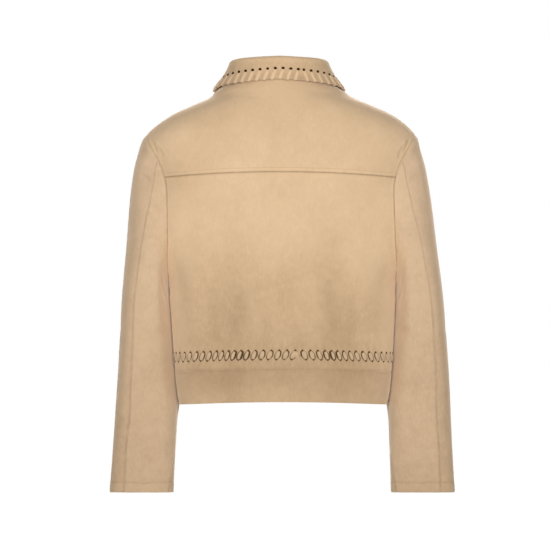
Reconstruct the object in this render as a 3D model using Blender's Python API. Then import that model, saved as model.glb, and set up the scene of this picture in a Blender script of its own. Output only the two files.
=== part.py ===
"""A cropped suede jacket, filled out as if worn: body, sleeves, collar and buttons.

The front faces -Y, the back +Y, the wearer's left is +X, and +Z is up. The origin is between
the shoulders, at the foot of the neck. Sizes and tables are in millimetres, angles in degrees.
The body is a stack of rings. A ring's level is its height at the side, its angle is 0 at the
centre back, 90 at the wearer's left side and 180 at the centre front.
"""

import bmesh
import bpy
import numpy as np

MM = 0.001

# Walls and gaps
SUEDE_WALL = 1.5
COLLAR_WALL = 2.4
SEAM_GAP = 0.3

# Levels of the seams
NECK = 26.0
SHOULDER_TIP = -63.0
YOKE_SEAM = -134.0
UNDERARM = -305.0
LACED_SEAM = -433.0
BAND_SEAM = -455.0
HEM = -510.0
CUFF = -656.5

# Armhole: an upright oval, the same at the back and the front
ARMHOLE_MIDDLE = (SHOULDER_TIP + UNDERARM) / 2
ARMHOLE_HALF_HEIGHT = (SHOULDER_TIP - UNDERARM) / 2
ARMHOLE_HALF_DEPTH = 60.0
ARMHOLE_SQUARENESS = 2.4
ARMHOLE_SPLAY = 0.9  # how far its seam's normals lean outward at the top

# Neck seam
NECK_SPLAY = 0.7  # upward part of its normals

FLARE_REACH = 40.0  # depth over which the flare of the rings sets in

# Folds of the back
FOLD_FADES_OVER = 110.0
FOLD_EASES_OVER = 60.0  # above the hem band
FOLD_EASED_BY = 0.6

# Closure: the wearer's right front laps over the left
LAP_WIDTH = 18.0
LAP_LIFT = SUEDE_WALL + 0.7
LIFT_STARTS = 38.0
LIFT_FULL = 21.0
LAP_NOTCH = 10.0  # how many levels lower the lap's top is than the neck seam

# Sleeve
SLEEVE_LEVEL_BY = 0.6
SLEEVE_TILT_POWER = 1.8
ARMHOLE_FADES_BY = 0.4

# Collar
FOLD_RADIUS = 5.0
LEAF_BULGE = -1.5
LEAF_SPREAD = 24.0
SPREAD_STARTS = 100.0
COLLAR_END = 1.5
STAND_ENDS = 0.38
LEAF_STARTS = 0.62

# Buttons
BUTTON_RADIUS = 8.5
BUTTON_THICKNESS = 3.2
BUTTON_EDGE = 0.8
BUTTON_SIDES = 16
BUTTON_SEAT = 0.35
BUTTON_LEVELS = (-98.0, -190.0, -282.0, -374.0, -483.0)

# How finely each part is divided
BACK_STEPS = 18
FRONT_STEPS = 8
SHOULDER_LEVELS = (NECK, 15.0, 5.0, -4.0, -17.0, -33.0, -50.0)
ARMHOLE_TURNS = (0.0, 16.0, 33.0, 50.0, 66.0, 84.0, 102.0, 120.0, 138.0, 155.0, 168.0, 180.0)
BODY_LEVELS = (-318.0, -345.0, -375.0, -404.0, LACED_SEAM)
BAND_LEVELS = (BAND_SEAM, -482.0, HEM)
SLEEVE_STEPS = (0.0, 0.045, 0.1, 0.16, 0.23, 0.31, 0.4, 0.5, 0.6, 0.7, 0.8, 0.9, 0.98, 1.0)
COLLAR_STEPS = (0.0, 0.2, STAND_ENDS, 0.44, 0.5, 0.56, LEAF_STARTS, 0.8, 1.0)

# Small steps that normals are taken over, and the angle from which an edge is drawn sharp
SMALL_ANGLE = 0.5
SMALL_LEVEL = 1.0
SMALL_SHARE = 0.004
SMALL_COLLAR_STEP = 0.01
SHARP_FROM = 40.0

EDGE = {  # half the width of the body's rings; the armhole cuts the cloth short of it
    "level": (-510, -493, -455, -420, -337, -305, -280, -250, -200, -134, -86)
    + (-63, -51.5, -31.5, -13.5, -3.5, 1.5, 6.5, 13, 19, 26),
    "half_width": (168.5, 171.8, 175.2, 177.8, 183.5, 188, 197, 208, 223, 228, 231)
    + (221.5, 211, 183.5, 145, 121, 113, 108.5, 99.5, 92, 84),
}

RINGS = {  # depth from side to centre, rise of the centre above the side, roundness, and how much
    # wider the back is than the side seam, which is as much wider than the front
    "level": (-510, -455, -420, -337, -305, -250, -184, -134, -90, -63, -30, 0, 26),
    "back_depth": (76, 79, 82, 88, 92, 97, 99, 96, 91, 87, 79, 69, 60),
    "back_rise": (4.5, 4, 5, 6, 6, 7, 8, 9, 9, 9, 9, 9, 7),
    "front_depth": (83, 86, 89, 97, 102, 106, 107, 102, 97, 93, 86, 79, 72),
    "front_rise": (6, 3, 1, 0, 0, 0, -3, -10, -27, -40, -57, -74, -90),
    "flatness": (5.0, 5.0, 5.0, 4.8, 4.2, 2.9, 2.4, 2.4, 2.3, 2.2, 2.1, 2.0, 2.0),
    "corner": (2.7, 2.7, 2.7, 2.6, 2.5, 2.3, 2.1, 2.0, 2.0, 2.0, 2.0, 2.0, 2.0),
    "flare": (7, 9, 9, 8, 0, 0, 0, 0, 0, 0, 0, 0, 0),
}

LEAN = {  # how far the jacket's middle stands to the wearer's left
    "level": (-654, -570, -500, -455, -400, -320, -250, -90, -60, -35, -8, 12, 60),
    "shift": (-2, -2.7, -3.6, -4, -3.5, -2.3, -0.9, 2, 0, -1.8, -1.6, 2.5, 4),
}

BACK_FOLDS = {  # soft upright folds of the back: troughs are negative
    "across": (96, -97, 2, 150, -150),
    "half_width": (26, 24, 42, 20, 20),
    "height": (-7, -7, 4, 2.5, 2.5),
    "top": (-160, -165, -190, -200, -200),
    "bottom": (-455, -455, -455, -455, -455),
}

SLEEVE_OUTER = {  # the sleeve's outer line, cuff first
    "level": (-654, -570, -490, -410, -330, -250, -171, -121, -91, -71, -63),
    "reach": (286, 280.5, 276, 271, 265.6, 257, 249, 241.5, 233.5, 227.5, 221.5),
}

SLEEVE_INNER = {  # the sleeve's inner line, cuff first
    "level": (-654, -570, -535, -509, -493, -455, -420, -380, -337, -318, -305),
    "reach": (181.5, 178, 176.4, 174.8, 174.9, 177.7, 180.4, 183.4, 186.8, 189.6, 188),
    "slant": (0, 1, 2, 6, 9, 11, 11, 11, 9, 5, 0),
}

SLEEVE_RINGS = {  # along the sleeve from 0 at the armhole to 1 at the cuff
    "along": (0, 0.15, 0.4, 0.7, 1),
    "half_depth": (60, 66, 61, 44, 25),
    "swing": (0, 0, -4, -14, -22),
    "roundness": (2.0, 2.6, 3.4, 3.6, 3.0),
}

SLEEVE_SEAMS = {  # turns of the sleeve's two seams along it
    "along": (0, 0.05, 0.1, 0.4, 0.7, 0.85, 1),
    "back_seam": (50, 60.5, 67.5, 74, 72.5, 67.5, 66),
    "inner_seam": (180, 180, 180, 180, 178, 165, 141),
}

COLLAR = {  # the fold and the leaf's edge: how far out from the neck seam, and how high
    "turn": (0, 45, 90, 135, 180),
    "fold_out": (4, 2, -6, -2, 3),
    "fold_height": (66, 62.5, 54.5, 27, -30),
    "edge_out": (9.5, 14.5, 23.5, 28, 28),
    "edge_height": (29.5, 24, 13, -32, -88),
}


def smooth(table, column, at):
    """A table's column as a smooth curve of its first column, with no overshoot."""
    keys = np.array(next(iter(table.values())), float)
    values = np.array(table[column], float)
    steps = np.diff(keys)
    rates = np.diff(values) / steps
    slopes = np.empty_like(values)
    slopes[0], slopes[-1] = rates[0], rates[-1]
    before, after = rates[:-1], rates[1:]
    same_way = before * after > 0
    total = np.where(same_way, before + after, 1.0)
    slopes[1:-1] = np.where(same_way, 2 * before * after / total, 0.0)
    at = np.clip(at, keys[0], keys[-1])
    i = np.clip(np.searchsorted(keys, at, side="right") - 1, 0, len(steps) - 1)
    t = (at - keys[i]) / steps[i]
    rise = values[i + 1] - values[i]
    start, end = slopes[i] * steps[i], slopes[i + 1] * steps[i]
    curve = t**2 * (3 * rise - 2 * start - end) + t**3 * (start + end - 2 * rise)
    return values[i] + t * start + curve


def ease(t):
    """0 to 1 with level ends."""
    t = np.clip(t, 0, 1)
    return t * t * (3 - 2 * t)


def unit(vectors):
    return vectors / np.maximum(np.linalg.norm(vectors, axis=-1, keepdims=True), 1e-9)


def lean(height):
    return smooth(LEAN, "shift", height)


def armhole_depth(level):
    """Half the armhole's width from back to front at a level, 0 above and below it."""
    u = np.clip(np.abs(level - ARMHOLE_MIDDLE) / ARMHOLE_HALF_HEIGHT, 0, 1)
    return ARMHOLE_HALF_DEPTH * (1 - u**ARMHOLE_SQUARENESS) ** 0.5


def back_folds(across, level):
    """Outward height of the back's soft folds."""
    height = np.zeros(np.broadcast(across, level).shape)
    for x, width, depth, top, bottom in zip(*BACK_FOLDS.values()):
        fade = ease((top - level) / FOLD_FADES_OVER)
        fade = fade * (1 - FOLD_EASED_BY * ease((bottom + FOLD_EASES_OVER - level) / FOLD_EASES_OVER))
        height = height + depth * fade * np.exp(-(((across - x) / width) ** 2))
    return height


def edge_sine(level, face):
    """Sine of the ring angle at which the armhole cuts the body, 1 above and below the armhole."""
    flatness, corner = smooth(RINGS, "flatness", level), smooth(RINGS, "corner", level)
    ratio = armhole_depth(level) / smooth(RINGS, face + "_depth", level)
    return (1 - ratio**corner) ** (1 / flatness)


def torso(angle, level, back, lapped=False):
    """Points of the body at ring angles and levels."""
    angle, level = np.broadcast_arrays(np.asarray(angle, float), np.asarray(level, float))
    face = "back" if back else "front"
    sine = np.sin(np.radians(angle))
    toward_edge = np.abs(sine) / edge_sine(level, face)
    flatness, corner = smooth(RINGS, "flatness", level), smooth(RINGS, "corner", level)
    lens = np.clip(1 - np.abs(sine) ** flatness, 0, 1) ** (1 / corner)
    across = smooth(EDGE, "half_width", level) * sine
    depth = smooth(RINGS, face + "_depth", level) * lens
    flare = smooth(RINGS, "flare", level) * np.tanh(depth / FLARE_REACH) * np.sign(sine) * sine**4
    if back:
        depth = depth + back_folds(across, level) * (1 - toward_edge**6)
    if lapped:
        depth = depth + LAP_LIFT * ease((across + LIFT_STARTS) / (LIFT_STARTS - LIFT_FULL))
    height = level + smooth(RINGS, face + "_rise", level) * (1 - toward_edge**2)
    across = across + lean(height) + (flare if back else -flare)
    return np.stack([across, depth if back else -depth, height], axis=-1)


def armhole(turn, side):
    """The armhole's edge, by the angle from its top over the back (or front, if negative)."""
    sine = np.sin(np.radians(turn))
    level = ARMHOLE_MIDDLE + ARMHOLE_HALF_HEIGHT * np.cos(np.radians(turn))
    reach = np.where(sine > 0, edge_sine(level, "back"), edge_sine(level, "front"))
    across = side * smooth(EDGE, "half_width", level) * reach + lean(level)
    depth = armhole_depth(level) * np.sign(sine)
    return np.stack(np.broadcast_arrays(across, depth, level), axis=-1)


def rounded(value, roundness):
    return np.sign(value) * np.abs(value) ** (2 / roundness)


def sleeve_tube(turn, along, side):
    """A sleeve's tube before it is drawn to the armhole's own shape."""
    turn, along = np.broadcast_arrays(np.asarray(turn, float), np.asarray(along, float))
    middle = ARMHOLE_MIDDLE + (CUFF - ARMHOLE_MIDDLE) * along
    tilt = ARMHOLE_HALF_HEIGHT * np.clip(1 - along / SLEEVE_LEVEL_BY, 0, 1) ** SLEEVE_TILT_POWER
    outer = smooth(SLEEVE_OUTER, "reach", middle + tilt)
    inner = smooth(SLEEVE_INNER, "reach", middle - tilt)
    roundness = smooth(SLEEVE_RINGS, "roundness", along)
    cosine = rounded(np.cos(np.radians(turn)), roundness)
    sine = rounded(np.sin(np.radians(turn)), roundness)
    across = (outer + inner) / 2 + (outer - inner) / 2 * cosine
    across = across + smooth(SLEEVE_INNER, "slant", middle - tilt) * sine * (1 - cosine) / 2
    height = middle + tilt * cosine
    depth = smooth(SLEEVE_RINGS, "half_depth", along) * sine + smooth(SLEEVE_RINGS, "swing", along)
    return np.stack([side * across + lean(height), depth, height], axis=-1)


def sleeve(turn, along, side):
    """Points of a sleeve: turn is 0 on the outer line, 90 at the back, 180 on the inner line."""
    fade = np.clip(1 - np.asarray(along, float) / ARMHOLE_FADES_BY, 0, 1)[..., None] ** 2
    drawn = armhole(turn, side) - sleeve_tube(turn, 0 * np.asarray(along, float), side)
    return sleeve_tube(turn, along, side) + fade * drawn


def sleeve_turn(share, along, under):
    """The turn at a share of the way across a sleeve piece, from its back seam to its inner seam."""
    back_seam = smooth(SLEEVE_SEAMS, "back_seam", along)
    inner_seam = smooth(SLEEVE_SEAMS, "inner_seam", along) - (0 if under else 360)
    return back_seam + (inner_seam - back_seam) * share


def front_angle(share, level, side):
    """The ring angle across a front: share 0 to 1 reaches the closure's line, 1 to 2 crosses it."""
    half_width = smooth(EDGE, "half_width", level)
    line = 180 - np.degrees(np.arcsin(LIFT_STARTS / half_width))
    across_panel = np.minimum(share, 1)
    cut = 1 - (1 - edge_sine(level, "front")) * (1 - across_panel**2)
    sine = np.sin(np.radians(90 + (line - 90) * across_panel)) * cut
    before_line = 180 - np.degrees(np.arcsin(sine))
    across = np.minimum(LIFT_STARTS - (LIFT_STARTS + LAP_WIDTH) * (share - 1), half_width)
    past_line = 180 - np.degrees(np.arcsin(across / half_width))
    return side * np.where(share <= 1, before_line, past_line)


def collar(angle, step):
    """Points of the collar: step is 0 at the neck seam, 0.5 on the fold, 1 at the leaf's edge."""
    angle, step = np.broadcast_arrays(np.asarray(angle, float), np.asarray(step, float))
    leaf = np.clip((step - LEAF_STARTS) / (1 - LEAF_STARTS), 0, 1)
    spread = LEAF_SPREAD * leaf * ease((np.abs(angle) - SPREAD_STARTS) / (180 - SPREAD_STARTS))
    angle = angle - np.sign(angle) * spread
    turn = np.abs(angle)
    foot = np.where(
        (turn <= 90)[..., None],
        torso(angle, NECK, back=True),
        np.where(
            (angle > 0)[..., None],
            torso(angle, NECK, back=False),
            torso(angle, NECK, back=False, lapped=True),
        ),
    )
    half_width = smooth(EDGE, "half_width", NECK)
    back_depth, front_depth = smooth(RINGS, "back_depth", NECK), smooth(RINGS, "front_depth", NECK)
    depth = np.where(turn <= 90, back_depth, front_depth)
    radians = np.radians(angle)
    way_out = np.stack([np.sin(radians) / half_width, np.cos(radians) / depth, 0 * radians], axis=-1)
    way_out = unit(way_out)
    fold_out, edge_out = smooth(COLLAR, "fold_out", turn), smooth(COLLAR, "edge_out", turn)
    fold_height = smooth(COLLAR, "fold_height", turn) - FOLD_RADIUS
    edge_height = smooth(COLLAR, "edge_height", turn)

    stand = np.clip(step / STAND_ENDS, 0, 1)
    bend = np.pi * np.clip((step - STAND_ENDS) / (LEAF_STARTS - STAND_ENDS), 0, 1)
    out = (fold_out - FOLD_RADIUS) * stand + FOLD_RADIUS * (1 - np.cos(bend))
    out = out + (edge_out - fold_out - FOLD_RADIUS) * leaf + LEAF_BULGE * np.sin(np.pi * leaf)
    height = foot[..., 2] + (fold_height - foot[..., 2]) * stand + FOLD_RADIUS * np.sin(bend)
    height = height + (edge_height - fold_height) * leaf
    points = foot + way_out * out[..., None]
    points[..., 2] = height
    return points


def normals_of(surface, across, along, small_across, small_along, flip=1):
    """Outward normals of a surface of two parameters."""
    sideways = surface(across + small_across, along) - surface(across - small_across, along)
    lengthways = surface(across, along + small_along) - surface(across, along - small_along)
    return flip * unit(np.cross(sideways, lengthways))


def side_normals(level, side):
    """Normals on the side and shoulder seams, which both faces of the body share."""
    above = smooth(EDGE, "half_width", level + SMALL_LEVEL)
    slope = (above - smooth(EDGE, "half_width", level - SMALL_LEVEL)) / (2 * SMALL_LEVEL)
    turned = -smooth(RINGS, "flare", level) / FLARE_REACH
    return unit(np.stack([np.full_like(level, side), turned, -slope], axis=-1))


def armhole_normals(turn, side):
    """Normals on the armhole's seam, shared by the body and the sleeve: away from its middle."""
    radians = np.radians(np.asarray(turn, float))
    outward = side * ARMHOLE_SPLAY * np.clip(np.cos(radians), 0, 1) ** 2
    upward = np.cos(radians) * ARMHOLE_HALF_DEPTH / ARMHOLE_HALF_HEIGHT
    return unit(np.stack([outward, np.sin(radians), upward], axis=-1))


def neck_normals(angle):
    """Normals on the neck seam, halfway between the body's and the collar's."""
    radians = np.radians(np.asarray(angle, float))
    upward = np.full_like(radians, NECK_SPLAY)
    return unit(np.stack([np.sin(radians), np.cos(radians), upward], axis=-1))


def seam_shift(line, inward, shared):
    """How far a seam's edge moves into its own piece: half the gap, square to the seam and its normals."""
    across_seam = unit(np.cross(np.gradient(line, axis=0), shared))
    own_side = np.sign(np.sum(across_seam * (inward - line), axis=-1, keepdims=True))
    return across_seam * own_side * SEAM_GAP / 2


def material(name, colour, roughness):
    made = bpy.data.materials.new(name)
    made.use_nodes = True
    shader = made.node_tree.nodes["Principled BSDF"]
    shader.inputs["Base Color"].default_value = (*colour, 1)
    shader.inputs["Roughness"].default_value = roughness
    shader.inputs["Metallic"].default_value = 0
    return made


def add_object(name, mesh_tools, made_of):
    bmesh.ops.recalc_face_normals(mesh_tools, faces=mesh_tools.faces)
    mesh = bpy.data.meshes.new(name)
    mesh_tools.to_mesh(mesh)
    mesh_tools.free()
    mesh.materials.append(made_of)
    mesh.shade_smooth()
    mesh.set_sharp_from_angle(angle=np.radians(SHARP_FROM))
    thing = bpy.data.objects.new(name, mesh)
    bpy.context.scene.collection.objects.link(thing)
    return thing


def add_wall(name, points, normals, wall, made_of):
    """A closed wall round a grid of points, half of it on each side."""
    rows, columns = points.shape[:2]
    work = bmesh.new()
    skins = []
    for offset in (wall / 2, -wall / 2):
        skin = (points + normals * offset) * MM
        skins.append([[work.verts.new(skin[r, c]) for c in range(columns)] for r in range(rows)])
    for skin in skins:
        for r in range(rows - 1):
            for c in range(columns - 1):
                work.faces.new((skin[r][c], skin[r][c + 1], skin[r + 1][c + 1], skin[r + 1][c]))
    rim = [(0, c) for c in range(columns)] + [(r, columns - 1) for r in range(1, rows)]
    rim += [(rows - 1, c) for c in range(columns - 2, -1, -1)] + [(r, 0) for r in range(rows - 2, 0, -1)]
    outer, inner = skins
    for (r, c), (r2, c2) in zip(rim, rim[1:] + rim[:1]):
        work.faces.new((outer[r][c], outer[r2][c2], inner[r2][c2], inner[r][c]))
    return add_object(name, work, made_of)


def armhole_levels():
    return ARMHOLE_MIDDLE + ARMHOLE_HALF_HEIGHT * np.cos(np.radians(np.array(ARMHOLE_TURNS)))


def join_side(points, normals, shifts, levels, column, inner, side, back):
    """Parts a body panel's side from its neighbours along the shoulder, the armhole and the side seam."""
    shoulder = levels >= SHOULDER_TIP - 0.01
    side_seam = levels <= UNDERARM + 0.01
    in_armhole = (levels <= SHOULDER_TIP + 0.01) & (levels >= UNDERARM - 0.01)
    cosine = np.clip((levels - ARMHOLE_MIDDLE) / ARMHOLE_HALF_HEIGHT, -1, 1)
    turn = np.degrees(np.arccos(cosine)) * (1 if back else -1)
    from_side, from_armhole = side_normals(levels, side), armhole_normals(turn, side)
    for stretch, shared in ((shoulder, from_side), (in_armhole, from_armhole), (side_seam, from_side)):
        if stretch.sum() > 1:
            line, inward = points[stretch, column], points[stretch, inner]
            shifts[stretch, column] += seam_shift(line, inward, shared[stretch])
    normals[:, column] = np.where(in_armhole[:, None], from_armhole, from_side)


def add_body_panel(name, ring_angle, shares, levels, sides, back, lapped, flip, made_of):
    """A wall over a grid of the body. sides lists the columns that are seams: column, its neighbour, side."""

    def surface(share, level):
        return torso(ring_angle(share, level), level, back, lapped)

    points = surface(shares, levels)
    normals = normals_of(surface, shares, levels, SMALL_SHARE, SMALL_LEVEL, flip)
    shifts = np.zeros_like(points)
    row_levels = levels[:, 0]
    for column, inner, side in sides:
        join_side(points, normals, shifts, row_levels, column, inner, side, back)
    if row_levels[0] == NECK:
        normals[0] = neck_normals(ring_angle(shares[0], levels[0]))
    shifts[0] += seam_shift(points[0], points[1], normals[0])
    if row_levels[-1] != HEM:
        shifts[-1] += seam_shift(points[-1], points[-2], normals[-1])
    return add_wall(name, points + shifts, normals, SUEDE_WALL, made_of)


def add_back(name, levels, made_of):
    shares = np.linspace(-1, 1, BACK_STEPS + 1)
    grid_share, grid_level = np.meshgrid(shares, np.array(levels, float))

    def ring_angle(share, level):
        return np.degrees(np.arcsin(np.sin(np.radians(90 * share)) * edge_sine(level, "back")))

    sides = ((0, 1, -1), (-1, -2, 1))
    return add_body_panel(name, ring_angle, grid_share, grid_level, sides, True, False, -1, made_of)


def add_front(name, levels, side, made_of):
    crossing = (LIFT_STARTS - np.array([LIFT_FULL, 0, -LAP_WIDTH])) / (LIFT_STARTS + LAP_WIDTH)
    shares = np.concatenate([np.linspace(0, 1, FRONT_STEPS + 1), 1 + crossing])
    grid_share, grid_level = np.meshgrid(shares, np.array(levels, float))
    if levels[0] == NECK:
        grid_level[0, -2:] -= LAP_NOTCH

    def ring_angle(share, level):
        return front_angle(share, level, side)

    sides = ((0, 1, side),)
    return add_body_panel(name, ring_angle, grid_share, grid_level, sides, False, side < 0, -side, made_of)


def add_sleeve_piece(name, side, under, made_of):
    seam_turn = SLEEVE_SEAMS["back_seam"][0]
    over_back = [turn for turn in ARMHOLE_TURNS if turn >= seam_turn]
    over_front = [turn for turn in reversed(ARMHOLE_TURNS) if 0 < turn <= seam_turn]
    over_front += [-turn for turn in ARMHOLE_TURNS]
    turns = np.array(over_back if under else over_front, float)
    last_turn = 180 if under else -180
    shares = (turns - seam_turn) / (last_turn - seam_turn)
    grid_share, grid_along = np.meshgrid(shares, np.array(SLEEVE_STEPS))

    def surface(share, along):
        return sleeve(sleeve_turn(share, along, under), along, side)

    points = surface(grid_share, grid_along)
    flip = -side if under else side
    normals = normals_of(surface, grid_share, grid_along, SMALL_SHARE, SMALL_SHARE, flip=flip)
    normals[0] = armhole_normals(turns, side)
    shifts = np.zeros_like(points)
    shifts[0] += seam_shift(points[0], points[1], normals[0])
    shifts[:, 0] += seam_shift(points[:, 0], points[:, 1], normals[:, 0])
    shifts[:, -1] += seam_shift(points[:, -1], points[:, -2], normals[:, -1])
    return add_wall(name, points + shifts, normals, SUEDE_WALL, made_of)


def add_collar(made_of):
    crossing = (LIFT_STARTS - np.array([LIFT_FULL, COLLAR_END])) / (LIFT_STARTS + LAP_WIDTH)
    shares = np.concatenate([np.linspace(0, 1, FRONT_STEPS + 1), 1 + crossing])
    left = front_angle(shares, NECK, 1)[1:]
    back = np.linspace(-90, 90, BACK_STEPS + 1)
    angles = np.concatenate([-left[::-1], back, left])
    grid_angle, grid_step = np.meshgrid(angles, np.array(COLLAR_STEPS))
    points = collar(grid_angle, grid_step)
    normals = normals_of(collar, grid_angle, grid_step, SMALL_ANGLE, SMALL_COLLAR_STEP)
    normals[0] = -neck_normals(angles)
    points[0] += seam_shift(points[0], points[1], normals[0])
    return add_wall("collar", points, normals, COLLAR_WALL, made_of)


def add_button(name, level, made_of):
    """A round button, flat against the lapped front on the centre line."""
    centre_angle = -180.0

    def surface(angle, at_level):
        return torso(angle, at_level, back=False, lapped=True)

    seat = surface(centre_angle, level)
    out = normals_of(surface, centre_angle, level, SMALL_ANGLE, SMALL_LEVEL, flip=-1)
    sideways = unit(np.cross(np.array([0.0, 0.0, 1.0]), out))
    upward = np.cross(out, sideways)
    turns = np.radians(np.arange(BUTTON_SIDES) * 360 / BUTTON_SIDES)
    ring = np.cos(turns)[:, None] * sideways + np.sin(turns)[:, None] * upward
    foot = SUEDE_WALL / 2 + BUTTON_SEAT
    profile = (
        (BUTTON_RADIUS - BUTTON_EDGE, foot),
        (BUTTON_RADIUS, foot + BUTTON_EDGE),
        (BUTTON_RADIUS, foot + BUTTON_THICKNESS - BUTTON_EDGE),
        (BUTTON_RADIUS - BUTTON_EDGE, foot + BUTTON_THICKNESS),
    )
    work = bmesh.new()
    loops = [
        [work.verts.new(point) for point in (seat + ring * radius + out * height) * MM]
        for radius, height in profile
    ]
    for lower, upper in zip(loops, loops[1:]):
        for i in range(BUTTON_SIDES):
            j = (i + 1) % BUTTON_SIDES
            work.faces.new((lower[i], lower[j], upper[j], upper[i]))
    work.faces.new(loops[0])
    work.faces.new(loops[-1])
    return add_object(name, work, made_of)


def build():
    for thing in list(bpy.data.objects):
        bpy.data.objects.remove(thing)

    suede = material("suede", (0.56, 0.40, 0.25), 0.95)
    dark_suede = material("band_suede", (0.48, 0.33, 0.20), 0.95)
    button_finish = material("button", (0.22, 0.13, 0.08), 0.45)

    armhole_rows = list(armhole_levels())
    yoke_index = int(np.argmin(np.abs(np.array(armhole_rows) - YOKE_SEAM)))
    armhole_rows[yoke_index] = YOKE_SEAM
    shoulder_rows = list(SHOULDER_LEVELS)

    add_back("back_yoke", shoulder_rows + armhole_rows[: yoke_index + 1], suede)
    add_back("back_panel", armhole_rows[yoke_index:] + list(BODY_LEVELS), suede)
    add_back("back_strip", (LACED_SEAM, BAND_SEAM), suede)
    add_back("back_band", BAND_LEVELS, dark_suede)
    for side, word in ((1, "left"), (-1, "right")):
        add_front("front_" + word, shoulder_rows + armhole_rows + list(BODY_LEVELS), side, suede)
        add_front("front_strip_" + word, (LACED_SEAM, BAND_SEAM), side, suede)
        add_front("front_band_" + word, BAND_LEVELS, side, dark_suede)
        add_sleeve_piece(f"sleeve_{word}_top", side, False, suede)
        add_sleeve_piece(f"sleeve_{word}_under", side, True, suede)
    add_collar(suede)
    for number, level in enumerate(BUTTON_LEVELS, 1):
        add_button(f"button_{number}", level, button_finish)


build()
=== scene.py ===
"""Looks for a cropped suede jacket: fine cloth, lacing, stitches, buttons, suede and light.

Sizes and tables are in millimetres and angles in degrees, until a mesh is made. The front faces
-Y, the back +Y and the wearer's left is +X. The body is a stack of rings: a ring's angle is 0 at
the centre back, 90 at the wearer's left side and 180 at the centre front.
"""

import bpy
import numpy as np
from mathutils import Matrix, Vector


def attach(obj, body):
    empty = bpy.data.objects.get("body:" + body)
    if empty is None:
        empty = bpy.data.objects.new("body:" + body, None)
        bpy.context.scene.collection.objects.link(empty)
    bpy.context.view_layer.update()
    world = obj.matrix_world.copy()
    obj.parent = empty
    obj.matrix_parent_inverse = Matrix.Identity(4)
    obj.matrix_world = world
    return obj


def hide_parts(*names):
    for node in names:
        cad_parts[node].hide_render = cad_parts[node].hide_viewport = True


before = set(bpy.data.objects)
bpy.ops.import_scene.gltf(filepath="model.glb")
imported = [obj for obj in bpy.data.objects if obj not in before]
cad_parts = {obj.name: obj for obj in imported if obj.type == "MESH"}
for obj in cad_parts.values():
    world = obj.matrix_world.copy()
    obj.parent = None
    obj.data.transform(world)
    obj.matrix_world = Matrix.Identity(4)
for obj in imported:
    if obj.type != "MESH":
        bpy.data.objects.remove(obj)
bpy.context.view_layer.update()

MM = 0.001

# ---------------------------------------------------------------- sizes shared with the solids

SUEDE_WALL = 1.5
COLLAR_WALL = 2.4
SEAM_GAP = 0.3

NECK = 26.0
SHOULDER_TIP = -63.0
YOKE_SEAM = -134.0
UNDERARM = -305.0
LACED_SEAM = -433.0
BAND_SEAM = -455.0
HEM = -510.0
CUFF = -656.5

ARMHOLE_MIDDLE = (SHOULDER_TIP + UNDERARM) / 2
ARMHOLE_HALF_HEIGHT = (SHOULDER_TIP - UNDERARM) / 2
ARMHOLE_HALF_DEPTH = 60.0
ARMHOLE_SQUARENESS = 2.4
ARMHOLE_SPLAY = 0.9
NECK_SPLAY = 0.7
FLARE_REACH = 40.0

FOLD_FADES_OVER = 110.0
FOLD_EASES_OVER = 60.0
FOLD_EASED_BY = 0.6

LAP_WIDTH = 18.0
LAP_LIFT = SUEDE_WALL + 0.7
LIFT_STARTS = 38.0
LIFT_FULL = 21.0
LAP_NOTCH = 10.0

SLEEVE_LEVEL_BY = 0.6
SLEEVE_TILT_POWER = 1.8
ARMHOLE_FADES_BY = 0.4

FOLD_RADIUS = 5.0
LEAF_BULGE = -1.5
LEAF_SPREAD = 24.0
SPREAD_STARTS = 100.0
COLLAR_END = 1.5
STAND_ENDS = 0.38
LEAF_STARTS = 0.62

BUTTON_RADIUS = 8.5
BUTTON_THICKNESS = 3.2
BUTTON_SEAT = 0.35
BUTTON_LEVELS = (-98.0, -190.0, -282.0, -374.0, -483.0)

EDGE = {  # half the width of the body's rings
    "level": (-510, -493, -455, -420, -337, -305, -280, -250, -200, -134, -86)
    + (-63, -51.5, -31.5, -13.5, -3.5, 1.5, 6.5, 13, 19, 26),
    "half_width": (168.5, 171.8, 175.2, 177.8, 183.5, 188, 197, 208, 223, 228, 231)
    + (221.5, 211, 183.5, 145, 121, 113, 108.5, 99.5, 92, 84),
}

RINGS = {  # depth from side to centre, rise of the centre above the side, roundness and flare
    "level": (-510, -455, -420, -337, -305, -250, -184, -134, -90, -63, -30, 0, 26),
    "back_depth": (76, 79, 82, 88, 92, 97, 99, 96, 91, 87, 79, 69, 60),
    "back_rise": (4.5, 4, 5, 6, 6, 7, 8, 9, 9, 9, 9, 9, 7),
    "front_depth": (83, 86, 89, 97, 102, 106, 107, 102, 97, 93, 86, 79, 72),
    "front_rise": (6, 3, 1, 0, 0, 0, -3, -10, -27, -40, -57, -74, -90),
    "flatness": (5.0, 5.0, 5.0, 4.8, 4.2, 2.9, 2.4, 2.4, 2.3, 2.2, 2.1, 2.0, 2.0),
    "corner": (2.7, 2.7, 2.7, 2.6, 2.5, 2.3, 2.1, 2.0, 2.0, 2.0, 2.0, 2.0, 2.0),
    "flare": (7, 9, 9, 8, 0, 0, 0, 0, 0, 0, 0, 0, 0),
}

LEAN = {  # how far the jacket's middle stands to the wearer's left
    "level": (-654, -570, -500, -455, -400, -320, -250, -90, -60, -35, -8, 12, 60),
    "shift": (-2, -2.7, -3.6, -4, -3.5, -2.3, -0.9, 2, 0, -1.8, -1.6, 2.5, 4),
}

BACK_FOLDS = {  # soft upright folds of the back: troughs are negative
    "across": (96, -97, 2, 150, -150),
    "half_width": (26, 24, 42, 20, 20),
    "height": (-7, -7, 4, 2.5, 2.5),
    "top": (-160, -165, -190, -200, -200),
    "bottom": (-455, -455, -455, -455, -455),
}

SLEEVE_OUTER = {  # the sleeve's outer line, cuff first
    "level": (-654, -570, -490, -410, -330, -250, -171, -121, -91, -71, -63),
    "reach": (286, 280.5, 276, 271, 265.6, 257, 249, 241.5, 233.5, 227.5, 221.5),
}

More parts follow.
